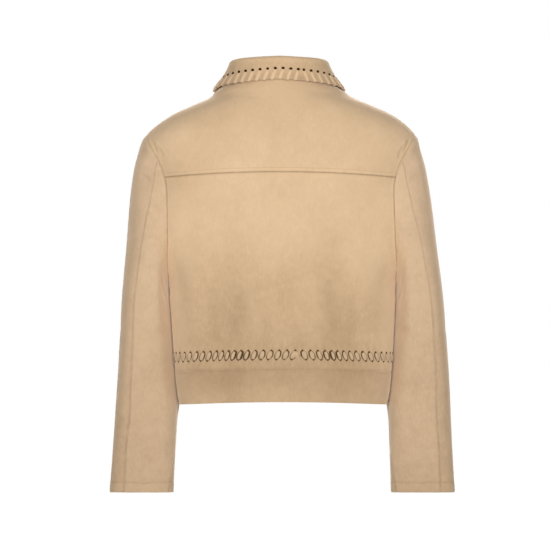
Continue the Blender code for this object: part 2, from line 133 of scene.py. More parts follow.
SLEEVE_INNER = {  # the sleeve's inner line, cuff first
    "level": (-654, -570, -535, -509, -493, -455, -420, -380, -337, -318, -305),
    "reach": (181.5, 178, 176.4, 174.8, 174.9, 177.7, 180.4, 183.4, 186.8, 189.6, 188),
    "slant": (0, 1, 2, 6, 9, 11, 11, 11, 9, 5, 0),
}

SLEEVE_RINGS = {  # along the sleeve from 0 at the armhole to 1 at the cuff
    "along": (0, 0.15, 0.4, 0.7, 1),
    "half_depth": (60, 66, 61, 44, 25),
    "swing": (0, 0, -4, -14, -22),
    "roundness": (2.0, 2.6, 3.4, 3.6, 3.0),
}

SLEEVE_SEAMS = {  # turns of the sleeve's two seams along it
    "along": (0, 0.05, 0.1, 0.4, 0.7, 0.85, 1),
    "back_seam": (50, 60.5, 67.5, 74, 72.5, 67.5, 66),
    "inner_seam": (180, 180, 180, 180, 178, 165, 141),
}

COLLAR = {  # the fold and the leaf's edge: how far out from the neck seam, and how high
    "turn": (0, 45, 90, 135, 180),
    "fold_out": (4, 2, -6, -2, 3),
    "fold_height": (66, 62.5, 54.5, 27, -30),
    "edge_out": (9.5, 14.5, 23.5, 28, 28),
    "edge_height": (29.5, 24, 13, -32, -88),
}

# ---------------------------------------------------------------- sizes of the fine cloth

CLOTH_GAP = 3.0  # spacing of the fine grids
BACK_GAP = 2.3
NEAR_EDGE = (0.0, 0.5, 1.1, 1.9, 3.0, 4.5)  # rows kept close to an edge, so that it can turn over
SEAM_DIP = 0.42
SEAM_DIP_WIDTH = 2.4
FREE_EDGE_DIP = 0.45
SHARED_NORMAL_WIDTH = 9.0
SMALL_ANGLE = 0.5
SMALL_LEVEL = 1.0
SMALL_SHARE = 0.004
SMALL_COLLAR_STEP = 0.01
SHIFT_REACH = 4.0  # how far in from an edge its shift reaches
SEAM_WEAR_AND_SHADE_REACH = 4.0
LEAST_SKIN = 0.18  # from the middle of the cloth to either skin
ARMHOLE_MARGIN = 0.4
SHARP_CLOTH = 50.0  # an edge turned more than this stays sharp
SHARP_PARTS = 60.0
SHARP_BUTTON = 35.0

BACK_SPAN = 205.0  # rough sizes along the cloth, which set how many columns and rows a piece has
FRONT_SPAN = 165.0
UNDER_SPAN = 130.0
TOP_SPAN = 250.0
SLEEVE_SPAN = 560.0
COLLAR_GAP = 0.012
COLLAR_TURN_GAP = 1.3
COLLAR_LAP_GAP = 0.04

YOKE_STITCH = 6.6  # from the seam to its topstitching
HEM_STITCH = 17.0
BAND_STITCH = 4.0
CLOSURE_STITCH = 7.0
STITCH_PITCH = 3.4
STITCH_LENGTH = 2.4
STITCH_RADIUS = 0.28
STITCH_LIFT = 0.12
STITCH_ENDS = 2.5  # how far a row of stitches stays from both ends of its seam
GROOVES = {  # half width and depth of the line that a row of stitches presses in
    "yoke": (0.8, 0.4),
    "band": (0.8, 0.35),
    "closure": (0.8, 0.3),
    "hem": (1.1, 0.8),
    # hem_shade: half width and darkness of painted shade along the hem's stitched groove
    "hem_shade": (1.5, 0.05),
}
YOKE_RAISED = 0.45  # where a seam's allowance lies under the cloth, and over how much it sinks
YOKE_SINKS_OVER = 1.6
BAND_RAISED = 0.35
BAND_RISES_OVER = 2.0
HEM_RAISED = 0.3
HEM_SINKS_OVER = 2.0
BAND_RIPPLE = 0.35
BAND_RIPPLE_RUNS = (21.0, 57.0)
NEAR_YOKE_STITCH = (5.2, 5.9, 6.6, 7.3, 8.2)  # extra rows, from the seam or the hem
NEAR_HEM_STITCH = (18.2, 17.5, 16.8, 16.0)
NEAR_LACES = (1.0, 17.0, 1.3)

NOTCH_STARTS = 1.55  # share of a front at which its neck edge drops to the lap's corner
NOTCH_WIDTH = 0.3
NOTCH_HEIGHT = 30.0

# Lower lacing: holes above and below the laced seam. Mouths, dark ovals as painted shadow in the
# holes: end of the lace, set back, size
LACE_TOP = 7.1
LACE_BOTTOM = -5.4
LACE_LEAN = 5.0
LACE_SHARE = 0.55  # of the pitch that a lace covers
LACE_THICKNESS = 1.9
LACE_SINK = -0.5
LACE_RISE = 2.1
LACE_MOUTHS = ((0, -1.4, 1.9), (-1, 1.1, 1.6))
LACE_ENDS_LEFT = 22.0  # across the front, from its centre
LACE_ENDS_RIGHT = -13.0
LACE_FIRST_LEFT = -19.1
LACE_FIRST_RIGHT = -31.9
LACE_PITCH = {
    "along": (0, 30, 45, 62, 85, 102, 120, 150, 175, 200, 400),
    "pitch": (12.9, 13.1, 12.3, 11.2, 10.1, 9.9, 11.1, 11.4, 11.6, 12.2, 12.5),
}
LACE_SLOTS = {"along": (71.0, -80.0), "spread": (13.0, 12.0)}  # where the laces part and show painted shadow
PULL = {"depth": 0.45, "width": 8.0}  # how the laces draw the cloth in
PUCKER = {"depth": 0.22, "at": 13.0, "width": 5.0}

STRAP_ROUNDNESS = 0.75
MOUTH_DEPTH = 0.25
MOUTH_DISH = 0.06
MOUTH_TAPER = 0.93

# Collar lacing: one hole above the edge, and the lace goes round the edge
COLLAR_HOLE = 15.6
COLLAR_MOUTH = 2.0
COLLAR_LACE_FIRST_LEFT = -32.0
COLLAR_LACE_FIRST_RIGHT = -41.6
COLLAR_LACE_PITCH = 12.7
COLLAR_LACE_LEAN = 5.4
COLLAR_LACE_WIDTH = 5.2
COLLAR_LACE_THICKNESS = 1.3
COLLAR_LACE_ENDS = 152.0
COLLAR_LACE_BEHIND = 7.0  # how far the lace comes up behind the leaf
COLLAR_MOUTH_SIZE = (2.35, 2.85)  # half its length and half its breadth
COLLAR_PUFF = 1.1  # how far the laces draw the leaf in between them, from where, over how much
COLLAR_PUFF_STARTS = 5.0
COLLAR_PUFF_FADES = 14.0
COLLAR_SCALLOP = (0.9, 0.5)  # out and in
COLLAR_SCALLOP_FADES = 7.0
COLLAR_STOPS = (0.0, 0.01, 0.03, STAND_ENDS, LEAF_STARTS, 0.82, 0.97, 0.99, 1.0)
LEAF_ROW = 0.83  # the collar's row along which its laces are spaced

# Painted light and shade on the body: darker low down and in the fold troughs, lighter towards the
# sides and edges below the yoke
BODY_PAINTED_LIGHT = {
    "level": (-510, -455, -433, -395, -330, -290, -240, -180, -134, -60, 26),
    "middle": (-0.04, -0.135, -0.125, -0.09, -0.05, -0.01, 0.03, 0.05, 0.05, 0.03, 0.01),
    "side": (0.05, 0.06, 0.07, 0.07, 0.07, 0.07, 0.06, 0.02, -0.03, 0.04, 0.0),
    "edge": (0.03, 0.08, 0.11, 0.12, 0.12, 0.11, 0.06, 0.0, 0.0, 0.0, 0.0),
}
FOLD_PAINTED_SHADE = {"across": 96.0, "half_width": 34.0, "top": -215.0, "shade": -0.04}
# Painted light and shade on a sleeve by how far along it: darker towards the cuff, lighter along
# its inner and outer lines
SLEEVE_PAINTED_LIGHT = {
    "along": (0, 0.3, 0.6, 0.85, 1),
    "under": (0.0, -0.02, -0.05, -0.06, -0.09),
    "top": (0.0, -0.02, -0.07, -0.10, -0.11),
    "inner": (0.0, 0.06, 0.14, 0.14, 0.02),
    "outer": (0.06, 0.12, 0.08, 0.05, 0.02),
}
# The collar a little darker, most on its leaf
COLLAR_DARKENING = -0.07
CREASE_PAINTED_SHADE = 0.045  # painted shade to each millimetre that a crease sinks, painted light to each that it rises
ARMHOLE_PAINTED_HIGHLIGHT = 0.07  # painted highlight on the body along the armhole
ARMHOLE_RIM = 3.6
ARMHOLE_RIM_WIDTH = 1.6
RIM_FADES = (60.0, 40.0)  # above the underarm and below the shoulder tip
SEAM_PAINTED_SHADE = {YOKE_SEAM: -0.13, BAND_SEAM: 0.08}  # painted shade on the cloth's edges at the yoke seam, painted light at the band seam
SEAM_PAINTED_SHADE_WIDTH = 2.2
SHADED_CREASE = 1.6  # a crease higher than this shades no more
FOLD_PAINTED_SHADE_FADES = 80.0
SIDE_PAINTED_LIGHT = (135.0, 30.0)  # where the side's painted light starts, and over how much it comes in
# Painted light towards the body's edges and a sleeve's inner and outer lines, where the cloth turns
# from the light: where it starts, and over how much it comes in
EDGE_PAINTED_LIGHT = (0.86, 0.12)
INNER_PAINTED_LIGHT = (125.0, 45.0)
OUTER_PAINTED_LIGHT = (50.0, 40.0)

CREASE_BOW = 0.06  # of its run that a crease bows
CREASE_STARTS = 0.35  # of its run over which a crease comes in
CREASE_ENDS = 0.3

# Soft creases, listed one by one. Body: across and level. Sleeves: turn and how far along.
BACK_CREASES = {
    "from_across": (216, 209, 204, -214, -207, -202, 60, -70, 118, -120, 30, -20, 176, -172),
    "from_level": (-66, -70, -78, -64, -70, -76, -300, -290, -330, -320, -345, -365, -250, -240),
    "to_across": (203, 197, 195, -201, -194, -192, 84, -92, 104, -108, 22, -32, 158, -150),
    "to_level": (-98, -92, -104, -96, -90, -106, -420, -410, -418, -424, -424, -424, -395, -390),
    "half_width": (2.2, 2.4, 2.2, 2.2, 2.4, 2.2, 13, 12, 9, 9, 8, 9, 12, 12),
    "height": (-1.6, 1.1, -1.5, -1.6, 1.1, -1.4, -1.0, -0.9, -0.7, -0.6, -0.5, -0.4, -0.8, -0.7),
}

FRONT_CREASES = {  # across is measured from the middle on either side
    "from_across": (214, 206, 120, 80, 150, 100, 56, 170),
    "from_level": (-84, -96, -200, -260, -240, -330, -340, -330),
    "to_across": (176, 168, 108, 88, 128, 112, 62, 150),
    "to_level": (-150, -170, -415, -420, -410, -424, -424, -420),
    "half_width": (3, 3, 22, 16, 14, 10, 9, 10),
    "height": (-1.4, 1.0, -2.6, 1.4, 1.4, -1.0, -0.9, -1.0),
}
RIGHT_FRONT_IN = 1.08  # the right front's creases lie a little further in and higher
RIGHT_FRONT_UP = 14.0
FRONT_CREASES_FADE = 40.0  # from the closure's edge

SLEEVE_CREASES = {
    "from_turn": (-150, -160, -140, -120, 120, 60, -60, 150, 20, -100, 8, 20, 34),
    "from_along": (0.34, 0.42, 0.50, 0.58, 0.10, 0.72, 0.88, 0.36, 0.46, 0.08, 0.030, 0.052, 0.06),
    "to_turn": (-80, -70, -60, -70, 160, 20, -120, 110, -10, -140, 40, 50, 58),
    "to_along": (0.40, 0.46, 0.55, 0.55, 0.24, 0.80, 0.84, 0.43, 0.43, 0.20, 0.008, 0.018, 0.04),
    "half_width": (9, 8, 9, 7, 9, 12, 9, 9, 9, 8, 2.4, 2.6, 2.4),
    "height": (-2.4, -2.0, -2.2, -1.5, -1.2, -0.8, -1.2, -1.0, -0.7, -1.6, -1.6, 1.0, -1.2),
}
SLEEVE_CREASES_FADE = {"top": 5.0, "start": 6.0, "end": 6.0}
TURN_LENGTH = 0.9  # millimetres of cloth to a degree round the sleeve
for column, length in (("turn", TURN_LENGTH), ("along", SLEEVE_SPAN)):
    for end in ("from_", "to_"):
        SLEEVE_CREASES[end + column] = tuple(length * at for at in SLEEVE_CREASES[end + column])

# ---------------------------------------------------------------- form, as the solids have it


def smooth(table, column, at):
    """A table's column as a smooth curve of its first column, with no overshoot."""
    keys = np.array(next(iter(table.values())), float)
    values = np.array(table[column], float)
    steps = np.diff(keys)
    rates = np.diff(values) / steps
    slopes = np.empty_like(values)
    slopes[0], slopes[-1] = rates[0], rates[-1]
    before, after = rates[:-1], rates[1:]
    same_way = before * after > 0
    total = np.where(same_way, before + after, 1.0)
    slopes[1:-1] = np.where(same_way, 2 * before * after / total, 0.0)
    at = np.clip(at, keys[0], keys[-1])
    i = np.clip(np.searchsorted(keys, at, side="right") - 1, 0, len(steps) - 1)
    t = (at - keys[i]) / steps[i]
    rise = values[i + 1] - values[i]
    start, end = slopes[i] * steps[i], slopes[i + 1] * steps[i]
    curve = t**2 * (3 * rise - 2 * start - end) + t**3 * (start + end - 2 * rise)
    return values[i] + t * start + curve


def ease(t):
    t = np.clip(t, 0, 1)
    return t * t * (3 - 2 * t)


def unit(vectors):
    return vectors / np.maximum(np.linalg.norm(vectors, axis=-1, keepdims=True), 1e-9)


def lean(height):
    return smooth(LEAN, "shift", height)


def armhole_depth(level):
    u = np.clip(np.abs(level - ARMHOLE_MIDDLE) / ARMHOLE_HALF_HEIGHT, 0, 1)
    return ARMHOLE_HALF_DEPTH * (1 - u**ARMHOLE_SQUARENESS) ** 0.5


def back_folds(across, level):
    height = np.zeros(np.broadcast(across, level).shape)
    for x, width, depth, top, bottom in zip(*BACK_FOLDS.values()):
        fade = ease((top - level) / FOLD_FADES_OVER)
        eased = ease((bottom + FOLD_EASES_OVER - level) / FOLD_EASES_OVER)
        fade = fade * (1 - FOLD_EASED_BY * eased)
        height = height + depth * fade * np.exp(-(((across - x) / width) ** 2))
    return height


def edge_sine(level, face):
    """Sine of the ring angle at which the armhole cuts the body, 1 above and below the armhole."""
    flatness, corner = smooth(RINGS, "flatness", level), smooth(RINGS, "corner", level)
    ratio = armhole_depth(level) / smooth(RINGS, face + "_depth", level)
    return (1 - ratio**corner) ** (1 / flatness)


def torso(angle, level, back, lapped=False):
    angle, level = np.broadcast_arrays(np.asarray(angle, float), np.asarray(level, float))
    face = "back" if back else "front"
    sine = np.sin(np.radians(angle))
    toward_edge = np.abs(sine) / edge_sine(level, face)
    flatness, corner = smooth(RINGS, "flatness", level), smooth(RINGS, "corner", level)
    lens = np.clip(1 - np.abs(sine) ** flatness, 0, 1) ** (1 / corner)
    across = smooth(EDGE, "half_width", level) * sine
    depth = smooth(RINGS, face + "_depth", level) * lens
    flare = smooth(RINGS, "flare", level) * np.tanh(depth / FLARE_REACH) * np.sign(sine) * sine**4
    if back:
        depth = depth + back_folds(across, level) * (1 - toward_edge**6)
    if lapped:
        depth = depth + LAP_LIFT * ease((across + LIFT_STARTS) / (LIFT_STARTS - LIFT_FULL))
    height = level + smooth(RINGS, face + "_rise", level) * (1 - toward_edge**2)
    across = across + lean(height) + (flare if back else -flare)
    return np.stack([across, depth if back else -depth, height], axis=-1)


def armhole(turn, side):
    sine = np.sin(np.radians(turn))
    level = ARMHOLE_MIDDLE + ARMHOLE_HALF_HEIGHT * np.cos(np.radians(turn))
    reach = np.where(sine > 0, edge_sine(level, "back"), edge_sine(level, "front"))
    across = side * smooth(EDGE, "half_width", level) * reach + lean(level)
    depth = armhole_depth(level) * np.sign(sine)
    return np.stack(np.broadcast_arrays(across, depth, level), axis=-1)


def rounded(value, roundness):
    return np.sign(value) * np.abs(value) ** (2 / roundness)


def sleeve_tube(turn, along, side):
    turn, along = np.broadcast_arrays(np.asarray(turn, float), np.asarray(along, float))
    middle = ARMHOLE_MIDDLE + (CUFF - ARMHOLE_MIDDLE) * along
    tilt = ARMHOLE_HALF_HEIGHT * np.clip(1 - along / SLEEVE_LEVEL_BY, 0, 1) ** SLEEVE_TILT_POWER
    outer = smooth(SLEEVE_OUTER, "reach", middle + tilt)
    inner = smooth(SLEEVE_INNER, "reach", middle - tilt)
    roundness = smooth(SLEEVE_RINGS, "roundness", along)
    cosine = rounded(np.cos(np.radians(turn)), roundness)
    sine = rounded(np.sin(np.radians(turn)), roundness)
    across = (outer + inner) / 2 + (outer - inner) / 2 * cosine
    across = across + smooth(SLEEVE_INNER, "slant", middle - tilt) * sine * (1 - cosine) / 2
    height = middle + tilt * cosine
    depth = smooth(SLEEVE_RINGS, "half_depth", along) * sine + smooth(SLEEVE_RINGS, "swing", along)
    return np.stack([side * across + lean(height), depth, height], axis=-1)


def sleeve(turn, along, side):
    """Points of a sleeve: turn is 0 on the outer line, 90 at the back, 180 on the inner line."""
    fade = np.clip(1 - np.asarray(along, float) / ARMHOLE_FADES_BY, 0, 1)[..., None] ** 2
    drawn = armhole(turn, side) - sleeve_tube(turn, 0 * np.asarray(along, float), side)
    return sleeve_tube(turn, along, side) + fade * drawn


def sleeve_turn(share, along, under):
    back_seam = smooth(SLEEVE_SEAMS, "back_seam", along)
    inner_seam = smooth(SLEEVE_SEAMS, "inner_seam", along) - (0 if under else 360)
    return back_seam + (inner_seam - back_seam) * share


def front_angle(share, level, side):
    """The ring angle across a front: share 0 to 1 reaches the closure's line, 1 to 2 crosses it."""
    half_width = smooth(EDGE, "half_width", level)
    edge = 180 - np.degrees(np.arcsin(edge_sine(level, "front")))
    line = 180 - np.degrees(np.arcsin(LIFT_STARTS / half_width))
    before_line = edge + (line - edge) * share
    across = np.minimum(LIFT_STARTS - (LIFT_STARTS + LAP_WIDTH) * (share - 1), half_width)
    past_line = 180 - np.degrees(np.arcsin(across / half_width))
    return side * np.where(share <= 1, before_line, past_line)


def collar(angle, step):
    """Points of the collar: step is 0 at the neck seam, 0.5 on the fold, 1 at the leaf's edge."""
    angle, step = np.broadcast_arrays(np.asarray(angle, float), np.asarray(step, float))
    leaf = np.clip((step - LEAF_STARTS) / (1 - LEAF_STARTS), 0, 1)
    spread = LEAF_SPREAD * leaf * ease((np.abs(angle) - SPREAD_STARTS) / (180 - SPREAD_STARTS))
    angle = angle - np.sign(angle) * spread
    turn = np.abs(angle)
    foot = np.where(
        (turn <= 90)[..., None],
        torso(angle, NECK, back=True),
        np.where(
            (angle > 0)[..., None],
            torso(angle, NECK, back=False),
            torso(angle, NECK, back=False, lapped=True),
        ),
    )
    half_width = smooth(EDGE, "half_width", NECK)
    back_depth, front_depth = smooth(RINGS, "back_depth", NECK), smooth(RINGS, "front_depth", NECK)
    depth = np.where(turn <= 90, back_depth, front_depth)
    radians = np.radians(angle)
    across, deep = np.sin(radians) / half_width, np.cos(radians) / depth
    way_out = unit(np.stack([across, deep, 0 * radians], axis=-1))
    fold_out, edge_out = smooth(COLLAR, "fold_out", turn), smooth(COLLAR, "edge_out", turn)
    fold_height = smooth(COLLAR, "fold_height", turn) - FOLD_RADIUS
    edge_height = smooth(COLLAR, "edge_height", turn)

    stand = np.clip(step / STAND_ENDS, 0, 1)
    bend = np.pi * np.clip((step - STAND_ENDS) / (LEAF_STARTS - STAND_ENDS), 0, 1)
    out = (fold_out - FOLD_RADIUS) * stand + FOLD_RADIUS * (1 - np.cos(bend))
    out = out + (edge_out - fold_out - FOLD_RADIUS) * leaf + LEAF_BULGE * np.sin(np.pi * leaf)
    height = foot[..., 2] + (fold_height - foot[..., 2]) * stand + FOLD_RADIUS * np.sin(bend)
    height = height + (edge_height - fold_height) * leaf
    points = foot + way_out * out[..., None]
    points[..., 2] = height
    return points


def normals_of(surface, across, along, small_across, small_along, flip=1):
    sideways = surface(across + small_across, along) - surface(across - small_across, along)
    lengthways = surface(across, along + small_along) - surface(across, along - small_along)
    return flip * unit(np.cross(sideways, lengthways))


def side_normals(level, side):
    above = smooth(EDGE, "half_width", level + SMALL_LEVEL)
    slope = (above - smooth(EDGE, "half_width", level - SMALL_LEVEL)) / (2 * SMALL_LEVEL)
    turned = -smooth(RINGS, "flare", level) / FLARE_REACH
    return unit(np.stack([np.full_like(level, side), turned, -slope], axis=-1))


def armhole_normals(turn, side):
    radians = np.radians(np.asarray(turn, float))
    outward = side * ARMHOLE_SPLAY * np.clip(np.cos(radians), 0, 1) ** 2
    upward = np.cos(radians) * ARMHOLE_HALF_DEPTH / ARMHOLE_HALF_HEIGHT
    return unit(np.stack([outward, np.sin(radians), upward], axis=-1))


def neck_normals(angle):
    radians = np.radians(np.asarray(angle, float))
    upward = np.full_like(radians, NECK_SPLAY)
    return unit(np.stack([np.sin(radians), np.cos(radians), upward], axis=-1))


def seam_shift(line, inward, shared):
    """How far a seam's edge moves into its own piece: half the gap, square to the seam."""
    across_seam = unit(np.cross(np.gradient(line, axis=0), shared))
    own_side = np.sign(np.sum(across_seam * (inward - line), axis=-1, keepdims=True))
    return across_seam * own_side * SEAM_GAP / 2


# ---------------------------------------------------------------- cutting and sewing


def filled(stops, gap):
    """Numbers through the stops, evenly between them and no further apart than the gap."""
    runs = []
    for start, end in zip(stops, stops[1:]):
        count = max(1, int(np.ceil(abs(end - start) / gap)))
        runs.append(np.linspace(start, end, count + 1)[:-1])
    return np.concatenate(runs + [[stops[-1]]])


def between(start, end, gap, extra=()):
    """Positions from start to end, close together near both ends and at the extra places."""
    way = np.sign(end - start)
    stops = [start + way * near for near in NEAR_EDGE] + [end - way * near for near in NEAR_EDGE]
    stops += [place for place in extra if min(start, end) < place < max(start, end)]
    return filled(sorted(set(stops), key=lambda place: way * place), gap)


def armhole_rows(top, bottom, gap):
    """Levels beside the armhole, closer together near its top and its foot."""
    turns = filled((0.0, 180.0), np.degrees(gap / ARMHOLE_HALF_HEIGHT))
    levels = ARMHOLE_MIDDLE + ARMHOLE_HALF_HEIGHT * np.cos(np.radians(turns))
    return [level for level in levels if bottom + ARMHOLE_MARGIN < level < top - ARMHOLE_MARGIN]


def body_rows(top, bottom, gap, extra=()):
    """Levels of a body panel, top first, with those beside the armhole set by its curve."""
    stops = [top - near for near in NEAR_EDGE] + [bottom + near for near in NEAR_EDGE] + list(extra)
    stops += armhole_rows(top, bottom, gap)
    for level in (SHOULDER_TIP, UNDERARM):
        if bottom < level < top:
            stops.append(level)
    inside = {round(float(stop), 3) for stop in stops if bottom <= stop <= top}
    return filled(sorted(inside, reverse=True), gap)


def edge_reaches(points):
    """How far each point lies from the grid's four edges, along the cloth."""
    down = np.linalg.norm(np.diff(points, axis=0), axis=-1)
    over = np.linalg.norm(np.diff(points, axis=1), axis=-1)
    top = np.concatenate([np.zeros((1, points.shape[1])), np.cumsum(down, axis=0)])
    start = np.concatenate([np.zeros((points.shape[0], 1)), np.cumsum(over, axis=1)], axis=1)
    return {"top": top, "bottom": top[-1:] - top, "start": start, "end": start[:, -1:] - start}


def crease_relief(table, u, v):
    """Outward height of soft creases. Each bows a little, fades at both ends and widens."""
    relief = np.zeros(u.shape)
    for u0, v0, u1, v1, width, height in zip(*table.values()):
        run = np.hypot(u1 - u0, v1 - v0)
        t = ((u - u0) * (u1 - u0) + (v - v0) * (v1 - v0)) / run**2
        off = ((u - u0) * (v1 - v0) - (v - v0) * (u1 - u0)) / run
        off = off - CREASE_BOW * run * (t - t**2)
        fade = ease(t / CREASE_STARTS) * ease((1 - t) / CREASE_ENDS)
        wide = width * (0.75 + 0.5 * np.clip(t, 0, 1))
        relief += height * fade * np.exp(-((off / wide) ** 2))
    return relief


def bump_at(distance, at, width):
    return np.exp(-(((distance - at) / width) ** 2))


def groove(distance, at, kind):
    half_width, depth = GROOVES[kind]
    return -depth * bump_at(distance, at, half_width)


def add_object(name, mesh, finish, sharp_from):
    mesh.materials.clear()
    mesh.materials.append(finish)
    mesh.shade_smooth()
    mesh.set_sharp_from_angle(angle=np.radians(sharp_from))
    thing = bpy.data.objects.new(name, mesh)
    bpy.context.scene.collection.objects.link(thing)
    return thing


def add_mesh(name, points, faces, finish, sharp_from):
    mesh = bpy.data.meshes.new(name)
    mesh.from_pydata((points * MM).tolist(), [], faces)
    return add_object(name, mesh, finish, sharp_from)


def add_attribute(thing, name, values):
    layer = thing.data.attributes.new(name, "FLOAT", "POINT")
    layer.data.foreach_set("value", np.asarray(values, np.float32).ravel())


def add_uv(thing, per_point):
    mesh = thing.data
    index = np.empty(len(mesh.loops), np.int32)
    mesh.loops.foreach_get("vertex_index", index)
    layer = mesh.uv_layers.new(name="cloth")
    layer.uv.foreach_set("vector", np.asarray(per_point, np.float32)[index].ravel())


def sew_panel(piece, points, normals, finish, wall, relief, seams, fields):
    """A thin closed shell on a grid: both skins, rounded at its edges, standing for its solid."""
    rows, columns = points.shape[:2]
    reaches = edge_reaches(points)
    middle = points + normals * relief[..., None]
    outer, inner = np.full((rows, columns), wall / 2), np.full((rows, columns), wall / 2)
    # Darker near seams: wear and painted shade
    seam_wear_and_shade_mask = np.zeros((rows, columns))
    for edge, reach in reaches.items():
        turned = 1 - ease(reach / SEAM_DIP_WIDTH)
        if edge in seams:
            outer -= SEAM_DIP * turned
            seam_wear_and_shade_mask = np.maximum(seam_wear_and_shade_mask, 1 - ease(reach / SEAM_WEAR_AND_SHADE_REACH))
        else:
            outer -= FREE_EDGE_DIP * turned
            inner -= FREE_EDGE_DIP * turned
    outer, inner = np.maximum(outer, LEAST_SKIN), np.maximum(inner, LEAST_SKIN)
    skins = [middle + normals * outer[..., None], middle - normals * inner[..., None]]
    index = np.arange(rows * columns).reshape(rows, columns)
    a, b, c, d = index[:-1, :-1], index[:-1, 1:], index[1:, 1:], index[1:, :-1]
    front = np.stack([a, b, c, d], axis=-1).reshape(-1, 4)
    rim = np.concatenate([index[0, :], index[1:, -1], index[-1, -2::-1], index[-2:0:-1, 0]])
    after = np.roll(rim, -1)
    offset = rows * columns
    wall_faces = np.stack([rim, rim + offset, after + offset, after], axis=-1)
    faces = np.concatenate([front, front[:, ::-1] + offset, wall_faces])
    facing = np.cross(points[1:, :-1] - points[:-1, :-1], points[:-1, 1:] - points[:-1, :-1])
    if np.sum(facing * normals[:-1, :-1]) > 0:
        faces = faces[:, ::-1]
    corners = np.concatenate(skins).reshape(-1, 3)
    thing = add_mesh(piece, corners, faces.tolist(), finish, SHARP_CLOTH)
    # Painted shade in the creases' troughs, painted light on their ridges
    fields["painted_light_and_tone"] = fields["painted_light_and_tone"] + CREASE_PAINTED_SHADE * np.clip(relief, -SHADED_CREASE, SHADED_CREASE)
    add_attribute(thing, "seam_wear_and_shade_mask", np.concatenate([seam_wear_and_shade_mask.ravel(), seam_wear_and_shade_mask.ravel()]))
    add_attribute(thing, "inside", np.concatenate([np.zeros(offset), np.ones(offset)]))
    for label, values in fields.items():
        add_attribute(thing, label, np.concatenate([values.ravel(), values.ravel()]))
    uv = np.stack([reaches["start"], reaches["bottom"]], axis=-1).reshape(-1, 2) * MM
    add_uv(thing, np.concatenate([uv, uv]))
    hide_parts(piece.removesuffix("_cloth"))
    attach(thing, "root")
    return {"points": middle, "normals": normals, "reaches": reaches, "outer": outer}


def body_painted_light(across, level):
    """Painted light and shade on the body by place: darker low down and in the fold troughs,
    lighter towards the sides and the edges that turn from the light.
    """
    across = np.abs(across - lean(level))
    fold = bump_at(across, FOLD_PAINTED_SHADE["across"], FOLD_PAINTED_SHADE["half_width"])
    fold = fold * ease((FOLD_PAINTED_SHADE["top"] - level) / FOLD_PAINTED_SHADE_FADES)
    side = ease((across - SIDE_PAINTED_LIGHT[0]) / SIDE_PAINTED_LIGHT[1])
    edge = ease((across / smooth(EDGE, "half_width", level) - EDGE_PAINTED_LIGHT[0]) / EDGE_PAINTED_LIGHT[1])
    shade = smooth(BODY_PAINTED_LIGHT, "middle", level) + FOLD_PAINTED_SHADE["shade"] * fold
    return shade + smooth(BODY_PAINTED_LIGHT, "side", level) * side + smooth(BODY_PAINTED_LIGHT, "edge", level) * edge


def sleeve_painted_light(turn, along, under):
    """Painted light and shade on a sleeve: lighter towards its inner and outer lines, where it
    turns from the light, and darker towards the cuff.
    """
    turn = np.abs(turn)
    shade = smooth(SLEEVE_PAINTED_LIGHT, "under" if under else "top", along)
    inner = ease((turn - INNER_PAINTED_LIGHT[0]) / INNER_PAINTED_LIGHT[1])
    outer = ease((OUTER_PAINTED_LIGHT[0] - turn) / OUTER_PAINTED_LIGHT[1])
    shade = shade + smooth(SLEEVE_PAINTED_LIGHT, "inner", along) * inner
    return shade + smooth(SLEEVE_PAINTED_LIGHT, "outer", along) * outer


def share_normals(normals, shared, reach):
    """Turns the normals near an edge towards those that the edge shares with its neighbour."""
    weight = (1 - ease(reach / SHARED_NORMAL_WIDTH))[..., None]
    return unit(normals * (1 - weight) + shared * weight)


def join_side(points, levels, column, inner, side, back):
    """Parts a body panel's side from its neighbours along shoulder, armhole and side seam."""
    shoulder = levels >= SHOULDER_TIP - 0.01
    side_seam = levels <= UNDERARM + 0.01
    in_armhole = (levels <= SHOULDER_TIP + 0.01) & (levels >= UNDERARM - 0.01)
    cosine = np.clip((levels - ARMHOLE_MIDDLE) / ARMHOLE_HALF_HEIGHT, -1, 1)
    turn = np.degrees(np.arccos(cosine)) * (1 if back else -1)
    from_side, from_armhole = side_normals(levels, side), armhole_normals(turn, side)
    shift = np.zeros((len(levels), 3))
    stretches = ((shoulder, from_side), (in_armhole, from_armhole), (side_seam, from_side))
    for stretch, shared in stretches:
        if stretch.sum() > 1:
            line, inward = points[stretch, column], points[stretch, inner]
            shift[stretch] += seam_shift(line, inward, shared[stretch])
    return np.where(in_armhole[:, None], from_armhole, from_side), shift


def shift_edges(points, shifts):
    """Moves edges by their shifts, and the cloth beside them by less."""
    reaches = edge_reaches(points)
    moved = points.copy()
    for edge, shift in shifts.items():
        weight = (1 - ease(reaches[edge] / SHIFT_REACH))[..., None]
        moved += weight * (shift[None] if edge in ("top", "bottom") else shift[:, None])
    return moved


